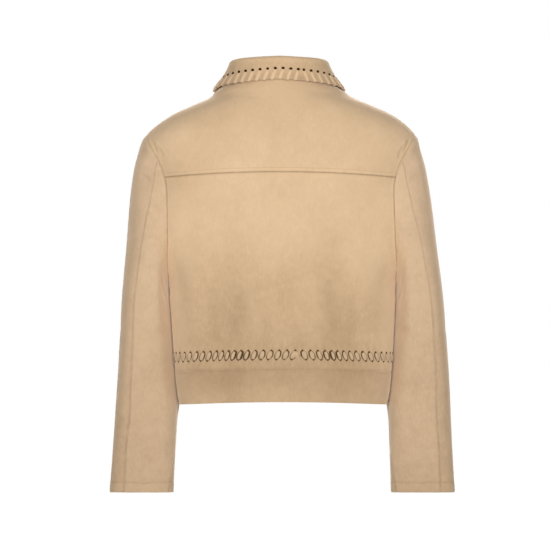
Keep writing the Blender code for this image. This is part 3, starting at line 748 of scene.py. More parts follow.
def body_panel(
    piece, ring_angle, shares, levels, sides, back, lapped, flip, finish, reliefs, seams, laced
):
    """Cuts a panel out of the body's rings, parts it from its neighbours and sews it."""

    def surface(share, level):
        return torso(ring_angle(share, level), level, back, lapped)

    points = surface(shares, levels)
    normals = normals_of(surface, shares, levels, SMALL_SHARE, SMALL_LEVEL, flip)
    reaches = edge_reaches(points)
    shifts = {}
    for column, inner, side, edge in sides:
        shared, shifts[edge] = join_side(points, levels[:, 0], column, inner, side, back)
        normals = share_normals(normals, shared[:, None], reaches[edge])
    if levels[0, 0] == NECK:
        from_neck = neck_normals(ring_angle(shares[0], levels[0]))
        normals = share_normals(normals, from_neck[None], reaches["top"])
    shifts["top"] = seam_shift(points[0], points[1], normals[0])
    if levels[-1, 0] != HEM:
        shifts["bottom"] = seam_shift(points[-1], points[-2], normals[-1])
    relief = reliefs(points, levels, reaches)
    # Painted light and shade on the body, a painted highlight beside the armhole, and painted shade
    # and light at the seams
    painted_light_and_tone = body_painted_light(points[..., 0], levels)
    from_below, from_above = RIM_FADES
    beside_armhole = ease((levels - UNDERARM) / from_below)
    beside_armhole = beside_armhole * ease((SHOULDER_TIP - levels) / from_above)
    for *_, edge in sides:
        rim = bump_at(reaches[edge], ARMHOLE_RIM, ARMHOLE_RIM_WIDTH)
        painted_light_and_tone = painted_light_and_tone + ARMHOLE_PAINTED_HIGHLIGHT * rim * beside_armhole
    for edge, level in (("top", levels[0, 0]), ("bottom", levels[-1, 0])):
        painted_light_and_tone = painted_light_and_tone + SEAM_PAINTED_SHADE.get(level, 0.0) * (1 - ease(reaches[edge] / SEAM_PAINTED_SHADE_WIDTH))
    fields = {"painted_light_and_tone": painted_light_and_tone, **laced}
    points = shift_edges(points, shifts)
    return sew_panel(piece, points, normals, finish, SUEDE_WALL, relief, seams, fields)


# ---------------------------------------------------------------- where the laces go


def ring_surface(angle, level):
    """Points of the body all the way round; past -180 it is the lapped front."""
    angle, level = np.broadcast_arrays(np.asarray(angle, float), np.asarray(level, float))
    back = torso(angle, level, back=True)
    left = torso(angle, level, back=False)
    right = torso(angle, level, back=False, lapped=True)
    front = np.where((angle > 0)[..., None], left, right)
    return np.where((np.abs(angle) <= 90)[..., None], back, front)


RING_ANGLES = np.linspace(-188.0, 176.0, 1457)
ring_line = ring_surface(RING_ANGLES, LACED_SEAM)
RING_ALONG = np.concatenate([[0], np.cumsum(np.linalg.norm(np.diff(ring_line, axis=0), axis=-1))])
RING_ALONG = RING_ALONG - np.interp(0.0, RING_ANGLES, RING_ALONG)


def lace_run(first, last, way):
    """Places of laces along the seam from the first, measured from the centre back."""
    places = [first]
    while way * (last - places[-1]) > 0:
        places.append(places[-1] + way * float(smooth(LACE_PITCH, "pitch", abs(places[-1]))))
    return np.array(places[:-1])


def along_at(angle):
    """How far along the laced seam a ring angle lies, from the centre back."""
    return float(np.interp(angle, RING_ANGLES, RING_ALONG))


def closure_angle(across):
    half_width = float(smooth(EDGE, "half_width", LACED_SEAM))
    return 180 - float(np.degrees(np.arcsin(across / half_width)))


LEFT_LACES = lace_run(LACE_FIRST_LEFT, along_at(closure_angle(LACE_ENDS_LEFT)), 1)
RIGHT_LACES = lace_run(LACE_FIRST_RIGHT, along_at(-closure_angle(LACE_ENDS_RIGHT)), -1)


def lace_open(along):
    """1 where the laces part and show painted shadow between them, 0 where they lie close."""
    return sum(bump_at(along, place, spread) for place, spread in zip(*LACE_SLOTS.values()))


def count_laces(along, places):
    """Places as a running count of laces, with half a lace before the first and after the last."""
    first, last = places[1] - places[0], places[-1] - places[-2]
    ends = np.concatenate([[places[0] - first / 2], places, [places[-1] + last / 2]])
    counts = np.concatenate([[-0.5], np.arange(len(places)), [len(places) - 0.5]])
    return np.interp(along, ends, counts)


def count_both_ways(along, left_places, right_places, leaned):
    """The running count on either side of the place where the laces turn to lean the other way."""
    left = count_laces(along - leaned, left_places)
    right = count_laces(-(along + leaned), -right_places)
    return np.where(along > (left_places[0] + right_places[0]) / 2, left, right)


def lace_fields(angles, levels):
    """Each point near the laced seam: its place counted in laces, and its height on them."""
    along = np.interp(angles, RING_ANGLES, RING_ALONG)
    height = levels - LACED_SEAM
    fall = (LACE_TOP - height) / (LACE_TOP - LACE_BOTTOM)
    height = height - (LACE_TOP + LACE_BOTTOM) / 2
    count = count_both_ways(along, LEFT_LACES, RIGHT_LACES, LACE_LEAN * fall)
    return {"lace_count": count, "lace_height": height, "lace_open": lace_open(along)}


def lace_pull(fields):
    """The cloth is drawn in under each lace and puckers above and below it."""
    count, height = fields["lace_count"], fields["lace_height"]
    wave = np.cos(2 * np.pi * count)
    near = bump_at(height, 0.0, PULL["width"])
    beyond = bump_at(np.abs(height), PUCKER["at"], PUCKER["width"])
    return -PULL["depth"] * wave * near - PUCKER["depth"] * wave * beyond


# ---------------------------------------------------------------- materials


def node_group(name, inputs, outputs):
    group = bpy.data.node_groups.new(name, "ShaderNodeTree")
    for label, kind, value in inputs:
        socket = group.interface.new_socket(name=label, in_out="INPUT", socket_type=kind)
        if value is not None:
            socket.default_value = value
    for label, kind in outputs:
        group.interface.new_socket(name=label, in_out="OUTPUT", socket_type=kind)
    return group, group.nodes.new("NodeGroupInput"), group.nodes.new("NodeGroupOutput")


def add_node(tree, kind, settings=None, **values):
    node = tree.nodes.new(kind)
    for name, value in (settings or {}).items():
        setattr(node, name, value)
    for name, value in values.items():
        key = int(name[1:]) if name[0] == "_" else name.replace("_", " ")
        socket = node.inputs[key]
        if isinstance(value, bpy.types.NodeSocket):
            tree.links.new(value, socket)
        else:
            socket.default_value = value
    return node


def calculate(tree, operation, first, second=0.5, third=0.0):
    node = add_node(tree, "ShaderNodeMath", {"operation": operation}, _0=first, _1=second, _2=third)
    return node.outputs[0]


def blotch(tree, vector, scale, detail, roughness, distortion=0.0):
    return add_node(
        tree, "ShaderNodeTexNoise", None,
        Vector=vector, Scale=scale, Detail=detail, Roughness=roughness, Distortion=distortion,
    ).outputs["Fac"]


def make_nap_group():
    """Brushed suede: cloudy shade, mottling, short nap strokes and fine grain."""
    group, start, end = node_group(
        "suede_nap",
        [("Vector", "NodeSocketVector", None), ("Strength", "NodeSocketFloat", 1.0)],
        [("Shade", "NodeSocketFloat"), ("Height", "NodeSocketFloat")],
    )
    vector = start.outputs["Vector"]
    cloud = blotch(group, vector, 11.0, 3.0, 0.5, 0.4)
    mottle = blotch(group, vector, 48.0, 4.0, 0.62, 0.7)
    brushed = add_node(group, "ShaderNodeMapping", None, Vector=vector, Scale=(1.0, 1.0, 0.35))
    stroke = blotch(group, brushed.outputs[0], 330.0, 3.0, 0.6, 0.3)
    grain = blotch(group, vector, 1700.0, 2.0, 0.6)
    shade, height = 0.0, 0.0
    for layer, weight in ((cloud, 0.13), (mottle, 0.13), (stroke, 0.12), (grain, 0.11)):
        centred = calculate(group, "SUBTRACT", layer, 0.5)
        shade = calculate(group, "MULTIPLY_ADD", centred, weight, shade)
    for layer, weight in ((stroke, 0.55), (grain, 0.45), (mottle, 0.8)):
        height = calculate(group, "MULTIPLY_ADD", layer, weight, height)
    shade = calculate(group, "MULTIPLY_ADD", shade, start.outputs["Strength"], 0.5)
    group.links.new(shade, end.inputs["Shade"])
    group.links.new(height, end.inputs["Height"])
    return group


def make_lace_shade_group():
    """Painted shadow lines, bowed, along both sides of each lace, the first wider where the laces
    part.
    """
    group, start, end = node_group(
        "lace_shade",
        [
            ("Count", "NodeSocketFloat", 0.0),
            ("Height", "NodeSocketFloat", 100.0),
            ("Open", "NodeSocketFloat", 0.0),
        ],
        [("Mask", "NodeSocketFloat")],
    )
    turned = calculate(group, "FRACT", calculate(group, "ADD", start.outputs["Count"], 0.5))
    off = calculate(group, "SUBTRACT", turned, 0.5)
    part = calculate(group, "DIVIDE", start.outputs["Height"], 7.4)
    squared = calculate(group, "MULTIPLY", part, part)
    inner = calculate(group, "MAXIMUM", calculate(group, "SUBTRACT", 1.0, squared), 0.0)
    opened = start.outputs["Open"]
    reach = calculate(group, "MULTIPLY_ADD", opened, 0.05, 0.33)
    line = calculate(group, "MULTIPLY", reach, calculate(group, "SQRT", inner))
    width = calculate(group, "MULTIPLY_ADD", opened, 0.10, 0.10)
    sides = []
    for way, breadth, most in (("ADD", width, 1.0), ("SUBTRACT", 0.10, 0.65)):
        away = calculate(group, "ABSOLUTE", calculate(group, way, off, line))
        across = calculate(group, "SUBTRACT", 1.0, calculate(group, "DIVIDE", away, breadth))
        soft = add_node(
            group, "ShaderNodeMapRange", {"interpolation_type": "SMOOTHSTEP"},
            Value=across, From_Min=-0.35, From_Max=0.45, To_Min=0.0, To_Max=most,
        )
        sides.append(soft.outputs[0])
    within = calculate(group, "GREATER_THAN", inner, 0.02)
    mask = calculate(group, "MULTIPLY", calculate(group, "MAXIMUM", *sides), within)
    strength = calculate(group, "MULTIPLY_ADD", opened, 0.25, 0.75)
    group.links.new(calculate(group, "MULTIPLY", mask, strength), end.inputs["Mask"])
    return group


nap_group = make_nap_group()
lace_shade_group = make_lace_shade_group()


def new_finish(name, **settings):
    """A material, its node tree, and its shader with the settings given."""
    finish = bpy.data.materials.new(name)
    finish.use_nodes = True
    shader = finish.node_tree.nodes["Principled BSDF"]
    for label, value in settings.items():
        shader.inputs[label.replace("_", " ")].default_value = value
    return finish, finish.node_tree, shader


def tone(tree, shade, colours):
    ramp = add_node(tree, "ShaderNodeValToRGB", None, Fac=shade)
    stops = ramp.color_ramp.elements
    while len(stops) < len(colours):
        stops.new(0.5)
    for stop, (place, colour) in zip(stops, colours):
        stop.position = place
        stop.color = (*colour, 1)
    return ramp.outputs["Color"]


def read_field(tree, label):
    return add_node(tree, "ShaderNodeAttribute", {"attribute_name": label}).outputs["Fac"]


SUEDE_SHADER = {
    "Roughness": 0.95,
    "Specular_IOR_Level": 0.12,
    "Sheen_Weight": 0.80,
    "Sheen_Roughness": 0.5,
    "Sheen_Tint": (1.0, 0.80, 0.60, 1),
}
SUEDE_STOPS = (0.0, 0.25, 0.5, 0.75)  # shades at which the suede has each of its colours
SEAM_WEAR_AND_SHADE = -0.06
INSIDE_SHADE = -0.14
LACE_SHADE = -0.5


def make_suede(name, colours, laced=False, strength=1.0, bump=0.5):
    finish, tree, shader = new_finish(name, **SUEDE_SHADER)
    place = tree.nodes.new("ShaderNodeTexCoord").outputs["Object"]
    nap_node = {"node_tree": nap_group}
    nap = add_node(tree, "ShaderNodeGroup", nap_node, Vector=place, Strength=strength)
    # The nap's random tone, plus the painted light and shade carried by the mesh
    shade = calculate(tree, "ADD", nap.outputs["Shade"], read_field(tree, "painted_light_and_tone"))
    # Darker along seams, as wear and painted shade, and darker on the inner skin
    for label, weight in (("seam_wear_and_shade_mask", SEAM_WEAR_AND_SHADE), ("inside", INSIDE_SHADE)):
        shade = calculate(tree, "MULTIPLY_ADD", read_field(tree, label), weight, shade)
    # Painted shadow lines beside the laces
    if laced:
        words = ("Count", "Height", "Open")
        fields = {word: read_field(tree, "lace_" + word.lower()) for word in words}
        lines = add_node(tree, "ShaderNodeGroup", {"node_tree": lace_shade_group}, **fields)
        shade = calculate(tree, "MULTIPLY_ADD", lines.outputs[0], LACE_SHADE, shade)
    colour = tone(tree, shade, list(zip(SUEDE_STOPS, colours)))
    tree.links.new(colour, shader.inputs["Base Color"])
    bumped = add_node(
        tree, "ShaderNodeBump", None, Height=nap.outputs["Height"], Strength=bump, Distance=0.0006
    )
    tree.links.new(bumped.outputs[0], shader.inputs["Normal"])
    return finish


TAN = ((0.060, 0.032, 0.015), (0.330, 0.215, 0.118), (0.560, 0.392, 0.236), (0.750, 0.545, 0.345))
SLEEVE_TAN = (
    (0.060, 0.033, 0.016), (0.330, 0.218, 0.126), (0.560, 0.398, 0.252), (0.750, 0.555, 0.368)
)
# The band's suede, darker than the rest
BAND_TAN = (
    (0.060, 0.032, 0.015), (0.300, 0.195, 0.107), (0.512, 0.354, 0.212), (0.690, 0.495, 0.312)
)
LACE_TAN = (
    (0.10, 0.055, 0.028), (0.380, 0.252, 0.140), (0.620, 0.440, 0.272), (0.740, 0.550, 0.360)
)
LOWER_LACE_TAN = (
    (0.09, 0.050, 0.025), (0.330, 0.218, 0.124), (0.505, 0.356, 0.215), (0.680, 0.495, 0.312)
)

suede = make_suede("tan_suede", TAN)
laced_suede = make_suede("laced_suede", TAN, laced=True)
band_suede = make_suede("band_suede_darker", BAND_TAN)
sleeve_suede = make_suede("sleeve_suede", SLEEVE_TAN)
lace_suede = make_suede("lace_suede", LACE_TAN, strength=0.8, bump=0.3)
lower_lace_suede = make_suede("lower_lace_suede", LOWER_LACE_TAN, strength=0.8, bump=0.3)


def make_plain(name, colour, mottled=0.25, scale=900.0, **settings):
    """A plain finish with a little uneven shade."""
    finish, tree, shader = new_finish(name, **settings)
    place = tree.nodes.new("ShaderNodeTexCoord").outputs["Object"]
    spots = blotch(tree, place, scale, 3.0, 0.6)
    low = tuple(c * (1 - mottled) for c in colour)
    high = tuple(min(1, c * (1 + mottled)) for c in colour)
    tree.links.new(tone(tree, spots, ((0.3, low), (0.7, high))), shader.inputs["Base Color"])
    return finish


DULL = {"Roughness": 1.0, "Specular_IOR_Level": 0.0}
# Dark finishes for the painted shadow in the holes' mouths
hole_shadow_finish = make_plain("hole_painted_shadow", (0.045, 0.018, 0.006), **DULL)
lower_hole_shadow_finish = make_plain("lower_hole_painted_shadow", (0.115, 0.058, 0.024), **DULL)
thread_finish = make_plain("tan_thread", (0.43, 0.285, 0.165), Roughness=0.7)
dark_thread_finish = make_plain("brown_thread", (0.16, 0.085, 0.045), Roughness=0.7)
button_finish = make_plain(
    "horn_button", (0.13, 0.065, 0.034), mottled=0.5, scale=160.0, Roughness=0.32
)

# ---------------------------------------------------------------- body

pieces = {}


def back_piece(
    name, top, bottom, finish, reliefs, seams, gap=BACK_GAP, extra=(), laced=False, column_gap=None
):
    levels = body_rows(top, bottom, gap, extra)
    shares = between(-BACK_SPAN, BACK_SPAN, column_gap or gap) / BACK_SPAN
    grid_share, grid_level = np.meshgrid(shares, levels)

    def ring_angle(share, level):
        return share * np.degrees(np.arcsin(edge_sine(level, "back")))

    fields = lace_fields(ring_angle(grid_share, grid_level), grid_level) if laced else {}

    def relief(points, levels, reaches):
        total = reliefs(points, levels, reaches)
        return total + lace_pull(fields) if laced else total

    sides = ((0, 1, -1, "start"), (-1, -2, 1, "end"))
    pieces[name] = body_panel(
        name + "_cloth", ring_angle, grid_share, grid_level, sides, True, False, -1,
        finish, relief, seams, fields,
    )


def back_relief(points, levels, reaches):
    return crease_relief(BACK_CREASES, points[..., 0], points[..., 2])


def yoke_relief(points, levels, reaches):
    raised = YOKE_RAISED * (1 - ease((reaches["bottom"] - YOKE_STITCH) / YOKE_SINKS_OVER))
    stitched = groove(reaches["bottom"], YOKE_STITCH, "yoke")
    return back_relief(points, levels, reaches) + raised + stitched


def flat_relief(points, levels, reaches):
    return np.zeros(levels.shape)


def band_relief(points, levels, reaches):
    short, long = (points[..., 0] / run for run in BAND_RIPPLE_RUNS)
    ripple = BAND_RIPPLE * np.sin(short + 0.6) * np.sin(long)
    raised = BAND_RAISED * ease(reaches["top"] / BAND_RISES_OVER)
    return raised + ripple + groove(reaches["top"], BAND_STITCH, "band")


ALL_ROUND = ("top", "bottom", "start", "end")
near_yoke = [YOKE_SEAM + offset for offset in NEAR_YOKE_STITCH]
near_laces = list(LACED_SEAM + np.arange(*NEAR_LACES))
back_piece("back_yoke", NECK, YOKE_SEAM, suede, yoke_relief, ALL_ROUND, extra=near_yoke)
back_piece(
    "back_panel", YOKE_SEAM, LACED_SEAM, laced_suede, back_relief, ALL_ROUND,
    gap=2.8, extra=near_laces, laced=True, column_gap=1.9,
)
back_piece(
    "back_strip", LACED_SEAM, BAND_SEAM, laced_suede, flat_relief, ALL_ROUND,
    gap=1.3, laced=True, column_gap=1.5,
)
back_piece("back_band", BAND_SEAM, HEM, band_suede, band_relief, ("top", "start", "end"))


def front_columns(gap):
    """Shares across a front: 0 at the side, 1 at the closure's line, 2 at the edge."""
    crossing = LIFT_STARTS + LAP_WIDTH
    places = between(0.0, FRONT_SPAN + crossing, gap, extra=(FRONT_SPAN,))
    past_line = 1 + (places - FRONT_SPAN) / crossing
    return np.where(places <= FRONT_SPAN, places / FRONT_SPAN, past_line)


def front_piece(
    word, side, part, top, bottom, finish, reliefs, seams,
    gap=CLOTH_GAP, extra=(), laced=False, column_gap=None,
):
    name = f"front_{part}{word}"
    levels = body_rows(top, bottom, gap, extra)
    grid_share, grid_level = np.meshgrid(front_columns(column_gap or gap), levels)
    if top == NECK:
        notch = ease((grid_share - NOTCH_STARTS) / NOTCH_WIDTH)
        notch = notch * ease(1 - (NECK - grid_level) / NOTCH_HEIGHT)
        grid_level = grid_level - LAP_NOTCH * notch

    def ring_angle(share, level):
        return front_angle(share, level, side)

    fields = lace_fields(ring_angle(grid_share, grid_level), grid_level) if laced else {}

    def relief(points, levels, reaches):
        total = reliefs(points, levels, reaches)
        if side < 0:
            total = total + groove(reaches["end"], CLOSURE_STITCH, "closure")
        return total + lace_pull(fields) if laced else total

    sides = ((0, 1, side, "start"),)
    pieces[name] = body_panel(
        name + "_cloth", ring_angle, grid_share, grid_level, sides, False, side < 0, -side,
        finish, relief, seams, fields,
    )


def front_relief(points, levels, reaches):
    x, z = points[..., 0], points[..., 2]
    across = np.where(x < 0, -RIGHT_FRONT_IN * x, x)
    level = z - np.where(x < 0, RIGHT_FRONT_UP, 0.0)
    creases = crease_relief(FRONT_CREASES, across, level)
    return creases * ease(reaches["end"] / FRONT_CREASES_FADE)


for word, side in (("left", 1), ("right", -1)):
    front_piece(
        word, side, "", NECK, LACED_SEAM, laced_suede, front_relief, ("top", "bottom", "start"),
        extra=near_laces, laced=True, column_gap=2.4,
    )
    front_piece(
        word, side, "strip_", LACED_SEAM, BAND_SEAM, laced_suede, flat_relief,
        ("top", "bottom", "start"), gap=1.5, laced=True, column_gap=1.7,
    )
    front_piece(word, side, "band_", BAND_SEAM, HEM, band_suede, band_relief, ("top", "start"))

# ---------------------------------------------------------------- sleeves


def sleeve_piece(word, side, under):
    name = f"sleeve_{word}_" + ("under" if under else "top")
    seam_turn = SLEEVE_SEAMS["back_seam"][0]
    last_turn, span = (180.0, UNDER_SPAN) if under else (-180.0, TOP_SPAN)
    shares = between(0.0, span, CLOTH_GAP) / span
    near_hem = [SLEEVE_SPAN - offset for offset in NEAR_HEM_STITCH]
    along = between(0.0, SLEEVE_SPAN, CLOTH_GAP, extra=near_hem) / SLEEVE_SPAN
    grid_share, grid_along = np.meshgrid(shares, along)
    armhole_turns = seam_turn + (last_turn - seam_turn) * shares

    def surface(share, at):
        return sleeve(sleeve_turn(share, at, under), at, side)

    points = surface(grid_share, grid_along)
    flip = -side if under else side
    normals = normals_of(surface, grid_share, grid_along, SMALL_SHARE, SMALL_SHARE, flip)
    reaches = edge_reaches(points)
    normals = share_normals(normals, armhole_normals(armhole_turns, side)[None], reaches["top"])
    shifts = {
        "top": seam_shift(points[0], points[1], normals[0]),
        "start": seam_shift(points[:, 0], points[:, 1], normals[:, 0]),
        "end": seam_shift(points[:, -1], points[:, -2], normals[:, -1]),
    }
    turn = sleeve_turn(grid_share, grid_along, under)
    turn = np.where(turn < -180, turn + 360, turn)
    relief = crease_relief(SLEEVE_CREASES, turn * TURN_LENGTH, grid_along * SLEEVE_SPAN)
    for edge, fades_over in SLEEVE_CREASES_FADE.items():
        relief = relief * ease(reaches[edge] / fades_over)
    relief = relief + groove(reaches["bottom"], HEM_STITCH, "hem")
    relief = relief + HEM_RAISED * (1 - ease((reaches["bottom"] - HEM_STITCH) / HEM_SINKS_OVER))
    # Painted shade along the hem's stitched groove
    hem_shade = groove(reaches["bottom"], HEM_STITCH, "hem_shade")
    pieces[name] = sew_panel(
        name + "_cloth", shift_edges(points, shifts), normals, sleeve_suede, SUEDE_WALL, relief,
        ("top", "start", "end"), {"painted_light_and_tone": sleeve_painted_light(turn, grid_along, under) + hem_shade},
    )


for word, side in (("left", 1), ("right", -1)):
    for under in (False, True):
        sleeve_piece(word, side, under)

# ---------------------------------------------------------------- collar

leaf_angles = np.linspace(-170.0, 170.0, 1361)
leaf_line = collar(leaf_angles, LEAF_ROW)
LEAF_ALONG = np.concatenate([[0], np.cumsum(np.linalg.norm(np.diff(leaf_line, axis=0), axis=-1))])
LEAF_ALONG = LEAF_ALONG - np.interp(0.0, leaf_angles, LEAF_ALONG)

last_lace = float(np.interp(COLLAR_LACE_ENDS, leaf_angles, LEAF_ALONG))
COLLAR_LEFT = np.arange(COLLAR_LACE_FIRST_LEFT, last_lace, COLLAR_LACE_PITCH)
COLLAR_RIGHT = np.arange(COLLAR_LACE_FIRST_RIGHT, -last_lace, -COLLAR_LACE_PITCH)


def collar_piece():
    crossing = (LIFT_STARTS - COLLAR_END) / (LIFT_STARTS + LAP_WIDTH)
    past_line = 1 + filled((0.0, crossing), COLLAR_LAP_GAP)[1:]
    shares = np.concatenate([filled((0.0, 1.0), COLLAR_GAP), past_line])
    left = front_angle(shares, NECK, 1)[1:]
    angles = np.concatenate([-left[::-1], filled((-90.0, 90.0), COLLAR_TURN_GAP), left])
    grid_angle, grid_step = np.meshgrid(angles, filled(COLLAR_STOPS, COLLAR_GAP))
    points = collar(grid_angle, grid_step)
    normals = normals_of(collar, grid_angle, grid_step, SMALL_ANGLE, SMALL_COLLAR_STEP)
    reaches = edge_reaches(points)
    normals = share_normals(normals, -neck_normals(angles)[None], reaches["top"])
    points = shift_edges(points, {"top": seam_shift(points[0], points[1], normals[0])})
    along = np.interp(grid_angle, leaf_angles, LEAF_ALONG)
    fall = 1 - reaches["bottom"] / COLLAR_HOLE
    count = count_both_ways(along, COLLAR_LEFT, COLLAR_RIGHT, COLLAR_LACE_LEAN * fall)
    wave = (1 - np.cos(2 * np.pi * count)) / 2
    puff = ease(1 - (reaches["bottom"] - COLLAR_PUFF_STARTS) / COLLAR_PUFF_FADES)
    relief = -COLLAR_PUFF * puff * wave
    out_by, in_by = COLLAR_SCALLOP
    scallop = ease(1 - reaches["bottom"] / COLLAR_SCALLOP_FADES) * (out_by * wave - in_by)
    down = unit(points[-1] - points[-4])[None]
    points = points + down * scallop[..., None]
    # The collar a little darker, most on its leaf
    fields = {"painted_light_and_tone": COLLAR_DARKENING * (0.3 + 0.7 * ease((grid_step - 0.6) / 0.1))}
    sew_panel(
        "collar_cloth", points, normals, suede, COLLAR_WALL, relief, ("top",), fields
    )


collar_piece()

# ---------------------------------------------------------------- lacing and stitches


def strap_parts(straps, sides=8):
    """Flat rounded straps along paths: points, and faces that close both ends.

    Each strap has a path, the way out of the cloth along it, and its widths and thicknesses.
    """
    points, faces, count = [], [], 0
    turns = np.arange(sides) * 2 * np.pi / sides
    flat_cos = np.sign(np.cos(turns)) * np.abs(np.cos(turns)) ** STRAP_ROUNDNESS
    flat_sin = np.sign(np.sin(turns)) * np.abs(np.sin(turns)) ** STRAP_ROUNDNESS
    for path, out, width, thickness in straps:
        way = unit(np.gradient(path, axis=0))
        across = unit(np.cross(way, out))
        up = np.cross(across, way)
        ring = across[:, None] * (flat_cos * width[:, None] / 2)[..., None]
        ring = ring + up[:, None] * (flat_sin * thickness[:, None] / 2)[..., None]
        points.append((path[:, None] + ring).reshape(-1, 3))
        index = count + np.arange(len(path) * sides).reshape(len(path), sides)
        ahead = np.roll(index, -1, axis=1)
        quads = np.stack([index[:-1], ahead[:-1], ahead[1:], index[1:]], axis=-1).reshape(-1, 4)
        faces += quads.tolist()
        faces += [index[0, ::-1].tolist(), index[-1].tolist()]
        count += len(path) * sides
    return np.concatenate(points), faces


def pick(thing):
    bpy.ops.object.select_all(action="DESELECT")
    thing.select_set(True)
    bpy.context.view_layer.objects.active = thing


def add_parts(name, parts, finish):
    """One piece made of many small closed parts, all facing out."""
    thing = add_mesh(name, *parts, finish, SHARP_PARTS)
    pick(thing)
    bpy.ops.object.mode_set(mode="EDIT")
    bpy.ops.mesh.select_all(action="SELECT")
    bpy.ops.mesh.normals_make_consistent(inside=False)
    bpy.ops.object.mode_set(mode="OBJECT")
    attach(thing, "root")


def oval_parts(mouths, lift, sides=12):
    """Shallow dark ovals just over the cloth, as painted shadow in the mouths of holes.

    Each mouth has a centre, the way out of the cloth, the way it is long, and half of both sizes.
    """
    points, faces, count = [], [], 0
    turns = np.arange(sides) * 2 * np.pi / sides
    for centre, out, way, length, width in mouths:
        across = unit(np.cross(way, out))
        ring = way * (np.cos(turns) * length)[:, None] + across * (np.sin(turns) * width)[:, None]
        base = centre + ring + out * (lift - MOUTH_DEPTH)
        top = centre + ring * MOUTH_TAPER + out * lift
        middle = centre + out * (lift - MOUTH_DISH)
        points.append(np.concatenate([base, top, middle[None]]))
        for i in range(sides):
            j = (i + 1) % sides
            faces.append([count + i, count + j, count + sides + j, count + sides + i])
            faces.append([count + sides + i, count + sides + j, count + 2 * sides])
        faces.append([count + i for i in range(sides - 1, -1, -1)])
        count += 2 * sides + 1
    return np.concatenate(points), faces


def ring_normals(angle, level):
    return normals_of(ring_surface, angle, level, SMALL_ANGLE, SMALL_LEVEL, flip=-1)


def make_lower_lacing():
    t = np.linspace(0, 1, 13)
    bulge = np.sin(np.pi * t)
    straps, mouths = [], []
    chance = np.random.default_rng(7)
    turning = LEFT_LACES[:1]  # where the lean changes, two laces leave one hole
    for run, way in ((LEFT_LACES, 1), (turning, -1), (RIGHT_LACES, -1)):
        for place in run:
            opened = float(lace_open(place))
            pitch = float(smooth(LACE_PITCH, "pitch", abs(place)))
            leaning = LACE_LEAN * chance.uniform(0.85, 1.15)
            along = place + way * (leaning * t + pitch * (0.02 + 0.05 * opened) * bulge)
            angle = np.interp(along, RING_ALONG, RING_ANGLES)
            level = LACED_SEAM + LACE_TOP + (LACE_BOTTOM - LACE_TOP) * t
            cloth, out = ring_surface(angle, level), ring_normals(angle, level)
            path = cloth + out * (LACE_SINK + LACE_RISE * bulge**0.5)[:, None]
            width = pitch * (LACE_SHARE - 0.10 * opened) * chance.uniform(0.95, 1.05)
            widths = width * (0.42 + 0.58 * bulge**0.6)
            straps.append((path, out, widths, LACE_THICKNESS * (0.75 + 0.25 * bulge)))
            heading = unit(path[-1] - path[0])
            for end, back_by, size in LACE_MOUTHS[1:] if run is turning else LACE_MOUTHS:
                length = size * chance.uniform(0.8, 1.1)
                breadth = 1.05 * size * chance.uniform(0.85, 1.1)
                centre = cloth[end] + heading * back_by
                mouths.append((centre, out[end], heading, length, breadth))
    add_parts("lower_lacing", strap_parts(straps), lower_lace_suede)
    add_parts("lower_lace_hole_shadows", oval_parts(mouths, SUEDE_WALL / 2 + 0.12), lower_hole_shadow_finish)


def make_collar_lacing():
    t = np.linspace(0, 1, 9)
    turns = np.radians((25, 60, 95, 130, 160))  # round the leaf's edge, to its underside
    behind = np.linspace(0, 1, 4)[1:]
    leaf_steps = np.linspace(LEAF_STARTS, 1, 40)
    from_lace = np.array([-COLLAR_HOLE - COLLAR_MOUTH, -COLLAR_HOLE, -COLLAR_LACE_BEHIND])
    straps, mouths = [], []
    chance = np.random.default_rng(11)
    for run, way in ((COLLAR_LEFT, 1), (COLLAR_RIGHT, -1)):
        for place in run:
            angle_top = float(np.interp(place, LEAF_ALONG, leaf_angles))
            angle_edge = float(np.interp(place + way * COLLAR_LACE_LEAN, LEAF_ALONG, leaf_angles))
            leaf = collar(np.full(len(leaf_steps), angle_edge), leaf_steps)
            from_edge = np.linalg.norm(np.diff(leaf, axis=0), axis=-1)[::-1].cumsum()[::-1]
            step_mouth, step_hole, step_inside = np.interp(from_lace, -from_edge, leaf_steps[:-1])
            down_angle = angle_top + (angle_edge - angle_top) * t
            down_step = step_hole + (1 - step_hole) * t
            cloth = collar(down_angle, down_step)
            out = normals_of(collar, down_angle, down_step - 0.012, SMALL_ANGLE, SMALL_COLLAR_STEP)
            rise = 0.5 + 1.1 * ease(t / 0.12) - 0.2 * t
            heading, edge_out = unit(cloth[-1] - cloth[-3]), out[-1]
            path, facing = list(cloth + out * rise[:, None]), list(out)
            for turn in turns:
                round_edge = heading * 1.9 * np.sin(turn) + edge_out * 1.55 * np.cos(turn)
                path.append(cloth[-1] - heading * 0.6 + round_edge)
                facing.append(unit(heading * np.sin(turn) + edge_out * np.cos(turn)))
            inside = collar(np.full(len(behind), angle_edge), 1 - (1 - step_inside) * behind)
            path += list(inside - edge_out * (1.75 - 1.2 * behind**3)[:, None])
            facing += [-edge_out] * len(behind)
            grow = np.clip(0.7 + np.arange(len(path)) / 8.0, 0.7, 1.0)
            widths = COLLAR_LACE_WIDTH * chance.uniform(0.92, 1.08) * grow
            thick = np.full(len(path), COLLAR_LACE_THICKNESS)
            straps.append((np.array(path), np.array(facing), widths, thick))
            at = np.full(2, angle_top), step_mouth + np.array([0.0, SMALL_COLLAR_STEP])
            centre, further = collar(*at)
            normal = normals_of(collar, *at, SMALL_ANGLE, SMALL_COLLAR_STEP)[0]
            length, breadth = (size * chance.uniform(0.9, 1.05) for size in COLLAR_MOUTH_SIZE)
            mouths.append((centre, normal, unit(further - centre), length, breadth))
    add_parts("collar_lacing", strap_parts(straps), lace_suede)
    add_parts("collar_lace_hole_shadows", oval_parts(mouths, COLLAR_WALL / 2 + 0.25), hole_shadow_finish)


